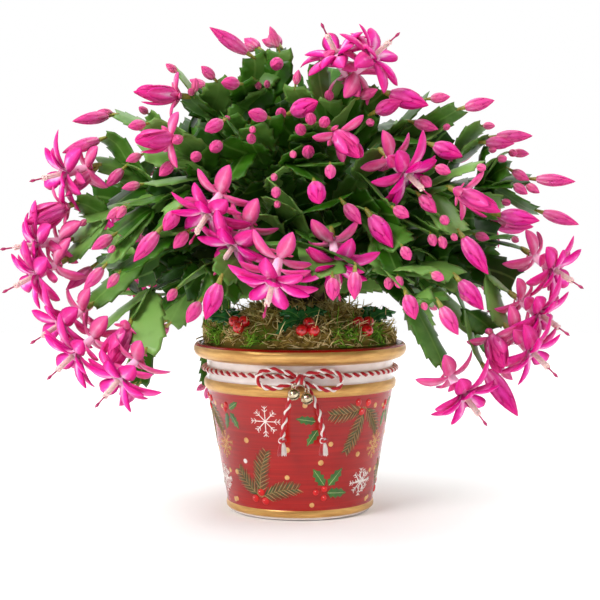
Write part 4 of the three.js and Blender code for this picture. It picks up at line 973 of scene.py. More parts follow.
def seated(flower, tip, limb):
    """A flower on the end of its segment, on a way that doesn't turn back on it."""
    _, along, width, _ = course_frame(limb, 1, limb["twist"])
    aside = (flower["base"] - tip["point"]) @ width
    most = SEGMENT_HALF_WIDTH * 0.5
    base = tip["point"] + width * min(most, max(-most, aside))
    way = flower["way"]
    while way @ along < MOST_TURNED_BACK:
        way = unit(way + 0.2 * along)
    return {**flower, "base": base, "way": way}


def inner_tips(draw, count, clear_out):
    """Bare tips inside the dome, evenly round it, none of them low within a distance of the pot."""
    tips = []
    i = 0
    while len(tips) < count:
        turn = i * GOLDEN_TURN
        down = acos(1 - INNER_SPAN * ((i * INNER_STRIDE) % 1))
        i += 1
        filling = INNER_LEAST + (INNER_MOST - INNER_LEAST) * draw()
        point = np.array([
            DOME_HALF_WIDTH * filling * sin(down) * cos(turn),
            DOME_HALF_DEPTH * filling * sin(down) * sin(turn),
            CROWN_HEIGHT + DOME_RISE * filling * cos(down),
        ])
        out = abs(point[0]) if point[1] < 0 else hypot(point[0], point[1])
        if point[2] < INNER_FLOOR and out < clear_out:
            continue
        tips.append({"point": point, "flowers": []})
    return tips


def shoot_tips(draw, count):
    """Tips of young shoots near the crown, all round it."""
    tips = []
    for i in range(count):
        turn = i * GOLDEN_TURN
        down = acos(1 - SHOOT_SPAN * ((i * INNER_STRIDE) % 1))
        distance = SHOOT_LEAST + (SHOOT_MOST - SHOOT_LEAST) * draw()
        point = np.array([
            distance * sin(down) * cos(turn), distance * sin(down) * sin(turn),
            CROWN_HEIGHT + distance * cos(down),
        ])
        tips.append({"point": point, "flowers": []})
    return tips


def fork_to(stems, tip, draw):
    """A limb to one more tip, from the best joint of the stem that leans like it, or nothing."""
    tip["lean"] = lean_of(tip["point"])
    stem = stem_near(stems, tip)
    joint = best_joint(stem["limbs"], tip)
    if joint is None:
        return None
    return stem, add_limb(stem["limbs"], stem, tip, joint, some_twist(draw, MOST_TWIST_DEG))


def flower_on(flower, stem, limb, extra):
    """A flower on the end of its limb, or where it stands well aside of that, on a short limb of its own."""
    tip = limb["tip"]
    if norm(flower["base"] - tip["point"]) > OWN_SEGMENT_BEYOND:
        place = {"point": flower["base"], "lean": lean_of(flower["base"]), "flowers": []}
        joint = best_joint(stem["limbs"], place)
        if joint:
            limb = add_limb(stem["limbs"], stem, place, joint, some_twist(extra, MOST_TWIST_DEG))
            return seated(flower, place, limb)
    return seated(flower, tip, limb)


@cache
def grown():
    """The whole plant: its stems with their limbs, and its flowers, each with its stem's number."""
    draw = seeded_draw(GROWTH_SEED)
    tips = front_tips(draw) + rear_tips(draw, BACK_TIPS, 0)
    for tip in tips:
        tip["lean"] = lean_of(tip["point"])
    stems = stems_for(tips)
    for number, stem in enumerate(stems, 1):
        stem["number"] = number
        stem["limbs"] = limbs_of(stem, draw)
    carried = [(stem, limb) for stem in stems for limb in stem["limbs"]]
    more = rear_tips(draw, MORE_BACK_TIPS, MORE_BACK_TURN) + inner_tips(draw, INNER_TIPS, INNER_CLEAR_OUT)
    carried += filter(None, [fork_to(stems, tip, draw) for tip in more])
    extra = seeded_draw(LOOKS_SEED)
    flowers = [
        {**flower_on(flower, stem, limb, extra), "stem": stem["number"]}
        for stem, limb in carried for flower in limb["tip"]["flowers"]
    ]
    for tip in shoot_tips(extra, SHOOTS):
        tip["lean"] = lean_of(tip["point"])
        stem = stem_near(stems, tip)
        limb = add_limb(stem["limbs"], stem, tip, None, 0.0)
        limb["young"] = True
        limb["twist"] = facing_twist(limb) + some_twist(extra, FACING_SPREAD_DEG)
    budded = [tip for tip in rear_tips(extra, BUDDED_TIPS, BUDDED_TURN) if tip["point"][2] > INNER_FLOOR]
    for tip in budded:
        tip["flowers"] = [flower for flower in tip["flowers"] if flower["kind"] == "bud"]
    for tip in budded + inner_tips(extra, FILL_TIPS, FILL_CLEAR_OUT):
        forked = fork_to(stems, tip, extra)
        if forked:
            stem, limb = forked
            limb["inside"] = True
            if tip["point"][1] < 0:
                limb["twist"] = facing_twist(limb) + some_twist(extra, FACING_SPREAD_DEG)
            flowers += [
                {**seated(flower, tip, limb), "stem": stem["number"]} for flower in tip["flowers"]
            ]
    return stems, flowers


# Leafy segments


def pad_rings(limb, number, draw, thick):
    """Rings of one flat segment: toothed edges, a ridge along the middle, a cut-off horned tip."""
    first = number / limb["count"]
    span = 1 / limb["count"]
    reach = limb["from"][2] + (limb["to"][2] - limb["from"][2]) * (first + span * 0.6)
    half, age = (SEGMENT_HALF_WIDTH * 0.8, 1.0) if limb.get("young") else half_width_at(reach)
    half *= 0.9 + 0.2 * draw()
    skew = (draw() - 0.5) * 0.1
    camber = (0.4 + 1.6 * draw()) * age
    turn = limb["twist"] + some_twist(draw, JOINT_TWIST_DEG) * (number > 0)
    length = limb["length"] * span
    lift = (thick * age + WOODY_THICK * (1 - age)) / 2
    across = np.array(PAD_ACROSS)
    raised = np.array(PAD_LIFT)
    rings = []
    for share, wide, horn in PAD_STATIONS:
        toothed = wide if age > 0.3 else 0.35 + 0.5 * sin(pi * min(1, share + 0.1))
        at = first + span * (share if share or number or limb["root"] else -ROOT_SUNK / length)
        point, along, width, face = course_frame(limb, at, turn)
        outward = half * max(toothed, 0.16)
        shift = horn * length * across ** 2 * age + skew * length * across * sin(pi * share) * age
        hold = min(1, 0.55 + 2.5 * share, 0.55 + 3 * (1 - share))
        rings.append(
            point + np.outer(across * outward, width) + np.outer(shift, along)
            + np.outer(raised * lift * hold - camber * across ** 2 * sin(pi * share), face)
        )
    return np.array(rings), age


def dress_stem(number, stem, looks, material, draw):
    """One leafy stem, segment by segment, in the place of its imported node."""
    skin = Skin("across", "age", "tone")
    across = np.array([PAD_ACROSS])
    for limb in stem["limbs"]:
        for i in range(limb["count"]):
            rings, age = pad_rings(limb, i, draw, looks.pad_thickness / MM)
            young = 0.55 * draw() if i < limb["count"] - 1 else 0.15 + 0.6 * draw()
            # Painted shade: segments inside the plant get a darker tone, as though the segments round them
            # shade them
            if limb.get("inside"):
                young = 0.4 * young - 0.12
            skin.lofts(rings, across=across, age=max(0, 0.75 - age), tone=young)
    return skin.piece(f"stem_{number:02d}_pads", [material], "pad", [f"stem_{number:02d}"])


# Flowers


def flower_frame(flower):
    """Origin and directions of a flower, its own second axis along its way."""
    way = flower["way"]
    side = UP if abs(way[2]) < 0.9 else np.array([1.0, 0, 0])
    along, across, _ = frame_along(way, side)
    return flower["base"], across, along, np.cross(across, along)


def lathe_rings(profile, sides, ripple=0.0):
    """Rings about the second axis through a profile of radius and height, with lobes that wind round."""
    turns = round_turns(sides)
    profile = np.asarray(profile, float)
    radius = profile[:, :1] * (1 + ripple * np.cos(TUBE_LOBES * turns[None, :] + profile[:, 1:2] * 0.12))
    return points_at(radius * np.cos(turns), profile[:, 1:2], -radius * np.sin(turns))


def lathe_part(skin, place, profile, sides, zone=0, ripple=0.0, **values):
    """A turned part along a flower."""
    skin.lofts(placed(lathe_rings(profile, sides, ripple), *place), zone=zone, **values)


def petal(skin, place, tier, turn, draw, thick):
    """One petal: a keeled, pointed blade that curls back as it goes out."""
    along, _, length, width, lean, curl, tone, foot = tier
    stretch = 0.9 + 0.2 * draw()
    lean += (draw() - 0.5) * 16
    curl *= 0.8 + 0.4 * draw()
    roll = (draw() - 0.5) * 0.5
    cup = 0.1 + 0.16 * draw()
    turn += (draw() - 0.5) * 0.3
    half = width / 2
    share, wide = np.array(PETAL_STATIONS).T[..., None]
    across = np.array([PETAL_ACROSS])
    raised = np.array([PETAL_LIFT])
    middle = np.radians(lean + curl * share * 0.5)
    end = np.radians(lean + curl * share)
    sideways = across * wide * half
    lift = raised * thick * np.minimum(1, wide * 1.6) - cup * half * wide * across ** 2 * 1.4
    lift = lift + sideways * np.sin(roll * share)
    reach = length * stretch * share
    out = reach * np.sin(middle) - lift * np.cos(end) + foot
    up = along + reach * np.cos(middle) + lift * np.sin(end)
    local = points_at(
        sideways * cos(turn) + out * sin(turn), up, out * cos(turn) - sideways * sin(turn))
    skin.lofts(placed(local, *place), along=share, across=across, tone=tone)


def stamens(skin, place, draw):
    """A sheaf of cream stamens with their anthers, and the longer magenta style."""
    ring = STAMEN_RADIUS * points_at(np.cos(THREE_CORNERS), 0, np.sin(THREE_CORNERS))
    anther = lathe_rings(ANTHER_PROFILE, 5)
    steps = np.linspace(0, 1, 4)[:, None]
    for i in range(STAMENS):
        turn = i * GOLDEN_TURN
        spread = 0.3 + 1.25 * sqrt(i / STAMENS)
        reach = STAMEN_REACH + 3 * draw() - spread
        start = np.array([spread * cos(turn), STAMEN_FOOT, spread * sin(turn)])
        end = np.array([spread * 1.2 * cos(turn), reach, spread * 1.2 * sin(turn)])
        line = start + (end - start) * steps
        skin.lofts(placed(line[:, None, :] + ring, *place), zone=2)
        skin.lofts(placed(anther + end, *place), zone=2, tone=1.0)
    lathe_part(skin, place, STYLE_PROFILE, 6, zone=3)


def open_flower(skin, flower, draw, thick):
    """Ovary, tube and tiers of petals, with the stamens of an open one."""
    place = flower_frame(flower)
    lathe_part(skin, place, OVARY_PROFILE, 12, zone=1)
    full = flower["kind"] == "bloom"
    if full:
        heights = np.array([height for _, height in TUBE_PROFILE]) / 52
        lathe_part(skin, place, TUBE_PROFILE, 16, ripple=0.09, along=heights * 0.3, across=0.1, tone=0.6)
        stamens(skin, place, draw)
    else:
        bud = (SPINDLE_FOOT, OPENING_LENGTH - SPINDLE_FOOT, SPINDLE_RADIUS)
        spindle(skin, place, bud, OPEN_ROWS, 0.85, draw)
    for level, tier in enumerate(BLOOM_TIERS if full else OPENING_TIERS):
        for i in range(tier[1]):
            petal(skin, place, tier, (i + level * 0.45) / tier[1] * 2 * pi, draw, thick)


def bud_width(share):
    """Half width of a bud at a share of its length, against its widest."""
    return np.interp(share, *np.array(BUD_FORM).T)


def folded_petal(skin, place, bud, first, last, turn, wide, lift, tone):
    """A pointed petal that lies on a closed bud, its edges just off it."""
    foot, length, radius = bud
    steps = np.linspace(0, 1, 8)[:, None]
    share = first + (last - first) * steps
    across = np.array([-1, -0.55, 0, 0.55, 1, 0.55, 0, -0.55])[None, :]
    above = np.array([0.45, 0.9, 1, 0.9, 0.45, -0.2, -0.2, -0.2])[None, :]
    half = wide * np.sin(np.pi * np.clip(0.24 + 0.76 * steps, 0, 1)) ** 0.8
    angle = turn + across * half
    out = bud_width(share) * radius + above * lift * (1 - 0.5 * steps)
    local = points_at(out * np.cos(angle), foot + share * length, -out * np.sin(angle))
    paler = 0.32 + 0.68 * np.abs(across)
    skin.lofts(placed(local, *place), along=0.15 + 0.8 * share, across=paler, tone=tone)


def spindle(skin, place, bud, rows, tone, draw):
    """Folded petals round a bud's middle, each row a little shorter than the one above it."""
    foot, length, radius = bud
    shares = np.array([share for share, _ in BUD_FORM])
    form = [(wide * radius, foot + share * length) for share, wide in BUD_FORM]
    lathe_part(skin, place, form, 12, along=0.15 + shares * 0.8, across=0.5, tone=tone)
    spin = draw() * 2 * pi
    for level, (first, last, count, wide) in enumerate(rows):
        for i in range(count):
            turn = spin + (i + level * 0.5) / count * 2 * pi
            reach = last - 0.05 * draw()
            lift = (0.17 - 0.04 * level) * radius
            shade = max(0.05, tone - 0.22 + 0.16 * level)
            folded_petal(skin, place, bud, first, reach, turn, wide, lift, shade)


def closed_bud(skin, flower, draw):
    """A green neck and ovary, and a spindle of folded petals, fewer of them on a small bud."""
    place = flower_frame(flower)
    length, width = flower["length"], flower["width"]
    ovary = min(8.5, 0.27 * length)
    lathe_part(skin, place, [
        (0.08 * width, -2), (0.11 * width, 0), (0.15 * width, ovary * 0.5), (0.2 * width, ovary * 1.1),
    ], 10, zone=1)
    bud = (ovary * 0.85, 0.96 * length - ovary * 0.85, width / 2 * 0.92)
    tone = 0.1 + 0.75 * min(1, max(0, (width - 5) / 8))
    spindle(skin, place, bud, CLOSED_ROWS if width >= 7 else CLOSED_ROWS[::2], tone, draw)


def dress_flowers(looks):
    """All flowers: an object for each open bloom in front, and one for each stem's other flowers."""
    stems, flowers = grown()
    petals = petal_material(looks)
    ovary = speckled("ovary_skin_green", looks.ovary_dark, looks.ovary_green, 2.5,
                     {"Roughness": 0.45, "Subsurface Weight": 0.1, "Subsurface Scale": 0.002}, 0.15)
    cream = speckled("stamen_cream", "#E6B2BC", "#F8DECB", 1.2,
                     {"Roughness": 0.6, "Subsurface Weight": 0.2, "Subsurface Scale": 0.002}, 0.1)
    style = speckled("style_magenta", "#8E1248", "#B81C68", 1.5, {"Roughness": 0.4}, 0.05)
    materials = [petals, ovary, cream, style]
    draw = seeded_draw(LOOKS_SEED + 2)
    thick = looks.petal_thickness / MM
    skins = {}
    named = 0
    for kind in ("bloom", "opening", "bud"):
        for flower in (one for one in flowers if one["kind"] == kind):
            skin = Skin("along", "across", "tone")
            alone = kind == "bloom" and flower["front"]
            if not alone:
                skin = skins.setdefault(flower["stem"], skin)
            if kind == "bud":
                closed_bud(skin, flower, draw)
            else:
                open_flower(skin, flower, draw, thick)
            if alone:
                named += 1
                skin.piece(f"flower_{named:02d}", materials, "petal", [f"bloom_{named:02d}"])
    for number in sorted(skins):
        skins[number].piece(f"stem_{number:02d}_flowers", materials, "petal")


# Pot and its enamel


def pot_zone(height, inside):
    """0 red, 1 gold, 2 white, 3 red inside the lip."""
    if inside:
        return 3
    if height < WHITE_BELOW:
        return 2
    if height < FOOT_BAND_TOP or RING_BOTTOM < height < RING_TOP or RIM_BOTTOM < height < LIP_BOTTOM:
        return 1
    return 2 if RING_TOP < height < RIM_BOTTOM else 0


def dress_pot(looks):
    """The turned pot, glazed red with gilded bands, white in its groove and under its foot."""
    heights = [height for _, height in POT_PROFILE]
    crest = heights.index(max(heights))
    zones = [pot_zone((a + b) / 2, i > crest) for i, (a, b) in enumerate(zip(heights, heights[1:]))]
    skin = Skin()
    skin.lofts(turned_rings(POT_PROFILE, POT_SIDES), zone=np.array(zones)[None, :, None])
    white = speckled("glazed_earthenware_white", looks.white_shade, looks.white_glaze, 22,
                     {"Roughness": 0.22, "IOR": 1.5, "Coat Weight": 0.5, "Coat Roughness": 0.1}, 0.1)
    inner = speckled("glazed_earthenware_lip", looks.glaze_dark, looks.glaze_red, 9,
                     {"Roughness": 0.25, "Coat Weight": 0.4}, 0.1)
    return skin.piece("pot_glazed", [glaze_material(looks), gold_material(looks), white, inner],
                      "glaze", ["pot"])


def body_radius(height):
    """Radius of the pot's tapered body at a height."""
    share = (height - BODY_FOOT_HEIGHT) / (BODY_TOP_HEIGHT - BODY_FOOT_HEIGHT)
    return BODY_FOOT_RADIUS + (BODY_TOP_RADIUS - BODY_FOOT_RADIUS) * share


def body_place(across, height):
    """Turn and height on the pot's body of a spot that the eye sees at the pot's axis."""
    depth = -body_radius(height)
    for _ in range(6):
        x, _, z = seen_at(across, height, depth)
        radius = body_radius(z)
        x = min(radius * 0.995, max(-radius * 0.995, x))
        depth = -sqrt(radius * radius - x * x)
    return asin(x / radius), z


def on_body(local, lift):
    """Points on the body from a turn, a height and a lift off the glaze."""
    turn, height = local[..., 0], local[..., 1]
    radius = body_radius(height) + lift
    return points_at(radius * np.sin(turn), -radius * np.cos(turn), height)


def stroke(skin, points, widths, lift, turned, crown=1.0):
    """A low raised stroke of enamel along points given as turn and height."""
    points = np.array(points, float)
    scale = np.array([body_radius(points[:, 1].mean()), 1.0])
    ahead = np.gradient(points * scale, axis=0)
    ahead /= np.maximum(norm(ahead, axis=1, keepdims=True), 1e-9)
    side = np.stack([-ahead[:, 1], ahead[:, 0]], axis=-1) / scale
    half = np.array(widths, float)[:, None] / 2
    spread = np.array([-1, -0.8, 0, 0.8, 1])
    raise_by = np.array([-0.25, 0.6, 1.0 * crown, 0.6, -0.25]) * lift
    local = points[:, None, :] + side[:, None, :] * (half * spread)[..., None]
    local[..., 0] += turned
    skin.lofts(on_body(local, raise_by))


def bead(skin, place, radius, height, turned=0.0):
    """A round drop of enamel."""
    turns = round_turns(14)
    form = np.array([(1.0, -0.25), (0.96, 0.35), (0.78, 0.74), (0.45, 0.95), (0.05, 1.0)])
    local = np.empty((len(form), 14, 2))
    local[..., 0] = place[0] + turned + form[:, :1] * radius * np.cos(turns) / body_radius(place[1])
    local[..., 1] = place[1] + form[:, :1] * radius * np.sin(turns)
    skin.lofts(on_body(local, form[:, 1:] * height))


def moved_place(place, across, up):
    """The spot that lies so far across and up from another one on the body."""
    return place[0] + across / body_radius(place[1]), place[1] + up


def bar(skin, place, foot, end, widths, lift, turned):
    """A straight stroke between two points given as across and up from a spot."""
    stroke(skin, [moved_place(place, *(foot + (end - foot) * s)) for s in (0, 0.5, 1)], widths, lift, turned)


def painted_berry(skins, spot, form, lift, turned):
    """A round berry with a small white light on it."""
    radius, height, light, light_radius, light_height = form
    place = body_place(*spot)
    bead(skins["berry"], place, radius, lift * height, turned)
    bead(skins["white"], moved_place(place, *light), light_radius, lift * light_height, turned)


def flake(skin, row, lift, turned):
    """A snowflake of eight arms, each with two pairs of branches."""
    place = body_place(row[0], row[1])
    size = row[2]
    for arm in range(FLAKE_ARMS):
        turn = arm / FLAKE_ARMS * 2 * pi
        ahead = np.array([sin(turn), cos(turn)])
        reach = size if arm % 2 == 0 else size * 0.88
        bar(skin, place, 0 * ahead, ahead * reach, [1.0, 0.85, 0.7], lift, turned)
        for at in (0.62, 0.84):
            for side in (-1, 1):
                branch = turn + side * radians(48)
                foot = ahead * reach * at
                end = foot + np.array([sin(branch), cos(branch)]) * size * 0.24
                bar(skin, place, foot, end, [0.7, 0.65, 0.5], lift, turned)
    bead(skin, place, 1.1, lift * 1.3, turned)


def fir_branch(needles, lights, foot, end, lift, turned, draw):
    """A fir branch: a stalk with needles that lean forward, one in three of them pale."""
    foot, end = np.array(foot), np.array(end)
    scale = body_radius(foot[1])
    span = (end - foot) * np.array([scale, 1.0])
    length = norm(span)
    ahead = span / length
    side = np.array([-ahead[1], ahead[0]])
    bow = 0.06 * length

    def at(share):
        flat = span * share + side * bow * sin(pi * share)
        return foot[0] + flat[0] / scale, foot[1] + flat[1]

    stroke(lights, [at(s) for s in (0.02, 0.3, 0.6, 0.92)], [1.1, 1.0, 0.8, 0.5], lift * 1.1, turned)
    count = max(10, int(length / 1.25))
    for i in range(count):
        share = 0.12 + 0.88 * i / count
        reach = (4.8 + 4.4 * sin(pi * min(1, share * 0.9 + 0.12))) * (0.85 + 0.3 * draw())
        for hand in (-1, 1):
            way = ahead * (0.72 + 0.1 * draw()) + side * hand * (0.72 + 0.16 * draw())
            way = way / norm(way) * reach
            root = np.array(at(share))
            line = [(root[0] + way[0] * s / scale, root[1] + way[1] * s) for s in (0, 0.5, 1)]
            pale = (i + (hand > 0)) % 3 == 0
            stroke(lights if pale else needles, line, [0.7, 0.8, 0.25], lift * (1.0 + 0.4 * pale), turned)


def painted_leaf(leaves, ribs, foot, end, lift, turned):
    """A painted holly leaf with spines along both edges, and a pale midrib."""
    foot, end = np.array(foot), np.array(end)
    scale = body_radius(foot[1])
    length = norm((end - foot) * np.array([scale, 1.0]))
    stroke(leaves, [foot + (end - foot) * s for s, _ in PAINTED_LEAF],
           [w * length * 0.6 for _, w in PAINTED_LEAF], lift, turned, crown=1.2)
    stroke(ribs, [foot + (end - foot) * s for s in (0.02, 0.3, 0.6, 0.9)], [0.6, 0.55, 0.45, 0.3],
           lift * 1.9, turned)


def dress_enamel(looks):
    """Snowflakes, fir sprays, holly, berries and dots, three times round the pot."""
    lift = looks.enamel_lift / MM
    skins = {name: Skin() for name in ENAMELS}
    for repeat in range(MOTIF_TURNS):
        turned = repeat * 2 * pi / MOTIF_TURNS
        draw = seeded_draw(LOOKS_SEED + 5)
        for row in WHITE_FLAKES:
            flake(skins["white"], row, lift, turned)
        for row in GOLD_FLAKES:
            flake(skins["gold"], row, lift, turned)
        for dot in GOLD_DOTS:
            bead(skins["gold"], body_place(*dot), 1.9 + 0.5 * draw(), lift * 1.6, turned)
        for dot in WHITE_DOTS:
            bead(skins["white"], body_place(*dot), 2.0, lift * 1.6, turned)
        for spray in FIR_SPRAYS:
            for end in spray["ends"]:
                fir_branch(skins["fir"], skins["fir_light"], body_place(*spray["foot"]), body_place(*end),
                           lift, turned, draw)
            for spot in spray["berries"]:
                painted_berry(skins, spot, FIR_BERRY, lift, turned)
        for sprig in HOLLY_SPRIGS:
            for foot, end in sprig["leaves"]:
                painted_leaf(
                    skins["holly"], skins["holly_rib"], body_place(*foot), body_place(*end), lift, turned)
            for spot in sprig["berries"]:
                painted_berry(skins, spot, HOLLY_BERRY, lift, turned)
    gloss = {
        "Roughness": 0.3, "IOR": 1.5, "Specular IOR Level": 0.35, "Coat Weight": 0.15, "Coat Roughness": 0.12,
    }
    for name, (title, dark, light, size, bump) in ENAMELS.items():
        enamel = speckled(title, dark, light, size, gloss, bump)
        skins[name].piece(f"enamel_{name}", [enamel], "glaze")


# Moss, crown and holly


def moss_height(distance, turn):
    """Height of the mound at a distance from the pot's axis and a turn round it."""
    dome = np.maximum(0, 1 - (distance / MOSS_RADIUS) ** 2) ** 0.8
    rough = np.sin(5 * turn + distance * 0.21) * np.sin(2 * turn + distance * 0.35)
    return MOSS_EDGE_HEIGHT + MOSS_RISE * dome + MOSS_ROUGHNESS * rough


def freshness(x, y):
    """Where the moss is still green, from 0 to 1."""
    near = [np.exp(-((x - a) ** 2 + (y - b) ** 2) / FRESH_WITHIN ** 2) for a, b in FRESH_TUFTS]
    return np.clip(sum(near) * 1.25, 0, 1)


def moss_lines(rng, count):
    """Middle lines of curled strands that spring from tufts, and whether each is still green."""
    inner = STOCK_RADIUS + SEAT_GAP
    out = np.sqrt(rng.uniform((inner / TUFTS_WITHIN) ** 2, 1, MOSS_TUFTS)) * TUFTS_WITHIN
    # Every third tuft stands near the lip
    out[::3] = rng.uniform(LIP_TUFTS_FROM, LIP_RADIUS, len(out[::3]))
    turn = rng.uniform(0, 2 * pi, MOSS_TUFTS)
    tall = rng.uniform(0.55, 1.1, MOSS_TUFTS)
    tuft = np.arange(count) % MOSS_TUFTS
    heading = rng.uniform(0, 2 * pi, count)
    aside = TUFT_RADIUS * np.sqrt(rng.uniform(0, 1, count))
    x = out[tuft] * np.cos(turn[tuft]) + aside * np.cos(heading)
    y = out[tuft] * np.sin(turn[tuft]) + aside * np.sin(heading)
    sunk = 1.8 + 4.5 * rng.uniform(0, 1, count) * np.clip(np.hypot(x, y) - 73, 0, 4) / 4
    foot = points_at(x, y, moss_height(np.hypot(x, y), np.arctan2(y, x)) - sunk)
    heading += rng.normal(0, 0.8, count)
    rise = np.arcsin(rng.uniform(0.05, 0.95, count))
    way = points_at(np.cos(rise) * np.cos(heading), np.cos(rise) * np.sin(heading), np.sin(rise))
    bend = rng.normal(0, 0.45, (count, 3)) - np.array([0, 0, 0.3])
    length = rng.uniform(*STRAND_LENGTHS, count) * tall[tuft]
    steps = np.linspace(0, 1, 6)[:, None]
    curl = way[:, None, :] * steps + bend[:, None, :] * steps ** 2
    line = foot[:, None, :] + length[:, None, None] * curl
    # Most strands stay inside the lip, and a few hang out over it
    inside = rng.uniform(0, 1, count) < STRANDS_INSIDE
    most = np.where(inside, INSIDE_WITHIN, OUTSIDE_WITHIN)[:, None]
    reach = np.hypot(line[..., 0], line[..., 1])
    line[..., :2] *= np.minimum(1, most / np.maximum(1e-6, reach))[..., None]
    over_lip = np.maximum(line[..., 2], POT_HEIGHT + 1.2)
    line[..., 2] = np.where(reach > LIP_INNER_RADIUS, over_lip, line[..., 2])
    fresh = freshness(out * np.cos(turn), out * np.sin(turn)) > rng.uniform(0.2, 0.9, MOSS_TUFTS)
    return line, fresh[tuft]


def dress_moss(looks):
    """A lumpy mound with a hole for the crown, and thousands of curled strands that stand out of it."""
    moss = moss_material(looks)
    rng = np.random.default_rng(LOOKS_SEED)
    inner = STOCK_RADIUS + SEAT_GAP
    radii = np.concatenate([[inner, inner + 0.01], np.linspace(inner + 3, LIP_RADIUS - 0.5, MOSS_RINGS)])
    distance, turn = np.meshgrid(radii, round_turns(MOSS_SIDES), indexing="ij")
    flare = np.clip((distance - inner) / 17, 0, 1)
    height = moss_height(distance, turn) * flare + (CROWN_HEIGHT - 6) * (1 - flare)
    lump = 1.5 * np.sin(distance * 0.9 + 7 * np.sin(3 * turn)) * np.sin(turn * 23 + distance * 0.31)
    height = height + lump * np.clip((LIP_RADIUS - distance) / 4, 0, 1) - 1.2
    height[0] = SOIL_HEIGHT
    top = points_at(distance * np.cos(turn), distance * np.sin(turn), height)
    edge = turned_rings([
        (LIP_RADIUS, MOSS_EDGE_HEIGHT - 3), (LIP_RADIUS, POT_HEIGHT - 3.5), (69.7, SOIL_HEIGHT),
    ], MOSS_SIDES)
    rings = np.concatenate([top, edge])[::-1]
    skin = Skin("tone", "fresh")
    x, y = rings[..., 0], rings[..., 1]
    tone = 0.3 + 0.3 * np.sin(x * 1.3 + np.sin(y)) * np.sin(y * 1.1)
    # Painted shade: darker where the mound dips behind the lip, as though the lip shades it
    tone = tone * np.clip(LIP_RADIUS - np.hypot(x, y), 0, 3) / 3
    skin.lofts(rings, closed=True, tone=tone, fresh=freshness(x, y) * 0.5)
    skin.piece("moss_mound", [moss], "moss", ["moss"])

    line, fresh = moss_lines(rng, looks.moss_strands)
    count, steps, _ = line.shape
    share = np.linspace(0, 1, steps)
    thick = rng.uniform(*STRAND_RADII, count)[:, None] * (1 - 0.7 * share ** 2)
    ahead = np.gradient(line, axis=1)
    aside = np.cross(ahead, ASKEW)
    aside /= norm(aside, axis=2, keepdims=True)
    above = np.cross(aside, ahead)
    above /= norm(above, axis=2, keepdims=True)
    cosine, sine = np.cos(THREE_CORNERS)[:, None], np.sin(THREE_CORNERS)[:, None]
    ring = cosine * aside[:, :, None, :] + sine * above[:, :, None, :]
    rings = line[:, :, None, :] + ring * thick[..., None, None]
    # Each strand has a random tone and is lighter towards its tip: painted shade at its foot, down among the
    # other strands
    tone = np.clip(rng.beta(1.1, 0.9, count)[:, None] + 0.35 * share - 0.12, 0, 1)
    strands = Skin("tone", "fresh")
    strands.lofts(rings, tone=tone[..., None], fresh=fresh[:, None, None])
    strands.piece("moss_strands", [moss], "moss")


def dress_crown():
    """The woody base that the stems share, ridged with age, with the stump of each stem."""
    skin = Skin()
    turns = round_turns(64)
    top = CROWN_HEIGHT + HEAD_RADIUS
    profile = np.array([
        (0.4, STOCK_DEPTH), (STOCK_RADIUS * 0.9, STOCK_DEPTH),
        *[(STOCK_RADIUS, STOCK_DEPTH + 2 + i * 9) for i in range(10)],
        (STOCK_RADIUS * 0.96, top - 6), (STOCK_RADIUS * 0.8, top - 3), (STOCK_RADIUS * 0.55, top - 1),
        (0.4, top),
    ])
    height = profile[:, 1:2]
    ridge = 1 - 0.05 * np.abs(np.sin(turns * 9 + height * 0.12)) - 0.02 * np.sin(height * 1.3 + turns)
    radius = profile[:, :1] * ridge
    skin.lofts(points_at(radius * np.cos(turns), radius * np.sin(turns), height))
    stems, _ = grown()
    for stem in stems:
        start = fountain_point(stem["u"], stem["v"], HEAD_RADIUS - 4)
        end = fountain_point(stem["u"], stem["v"], STUMP_REACH + 1)
        along, across, normal = frame_along(end - start, ASKEW)
        share = np.linspace(0, 1, 6)[:, None, None]
        corner = round_turns(10)
        wide = 2.6 + 0.4 * np.cos(share * 7)
        ring = np.cos(corner)[None, :, None] * across + np.sin(corner)[None, :, None] * normal
        skin.lofts(start + (end - start) * share + ring * wide)
    bark = speckled("bark_corky", "#3B2C1A", "#86714A", 4, {"Roughness": 0.85}, 0.8,
                    (1, 1, 0.35))
    skin.piece("crown_wood", [bark], "bark", ["crown"])


def holly_leaf(skin, foot, turn_deg, lift_deg, roll_deg):
    """A stiff arched leaf, its spines tipped up and down by turns, with a sunk midrib."""
    across = np.array([-1, -0.6, -0.25, 0, 0.25, 0.6, 1, 0.6, 0.25, 0, -0.25, -0.6])
    raised = np.array([0, 1, 1, 0.35, 1, 1, 0, 0, 0, -0.4, 0, 0]) * HOLLY_THICK
    share, wide = np.array(HOLLY_OUTLINE).T[..., None]
    reach = share * HOLLY_LENGTH
    side = across * wide * HOLLY_HALF_WIDTH
    above = raised + 1.1 * np.abs(across) ** 3 * np.sin(share * 26) + 0.02 * side ** 2
    turn, roll = radians(turn_deg), radians(roll_deg)
    lift = np.radians(lift_deg - reach * 1.4)
    heading = np.array([cos(turn), sin(turn), 0])
    level = np.array([-sin(turn), cos(turn), 0])
    along = heading * np.cos(lift) + UP * np.sin(lift)
    face = UP * np.cos(lift) - heading * np.sin(lift)
    rolled_side = level * cos(roll) + face * sin(roll)
    rolled_face = face * cos(roll) - level * sin(roll)
    points = (
        foot + (along * reach)[:, None, :] + rolled_side[:, None, :] * side[..., None]
        + rolled_face[:, None, :] * above[..., None]
    )
    skin.lofts(points, across=across[None, :])


def stalk(skin, place, top):
    """An upright stalk or wire pushed into the moss."""
    rings = turned_rings([(STALK_RADIUS, top - STALK_DEPTH * depth) for depth in (1, 0.5, 0)], 8)
    skin.lofts(rings + np.array([place[0], place[1], 0]))


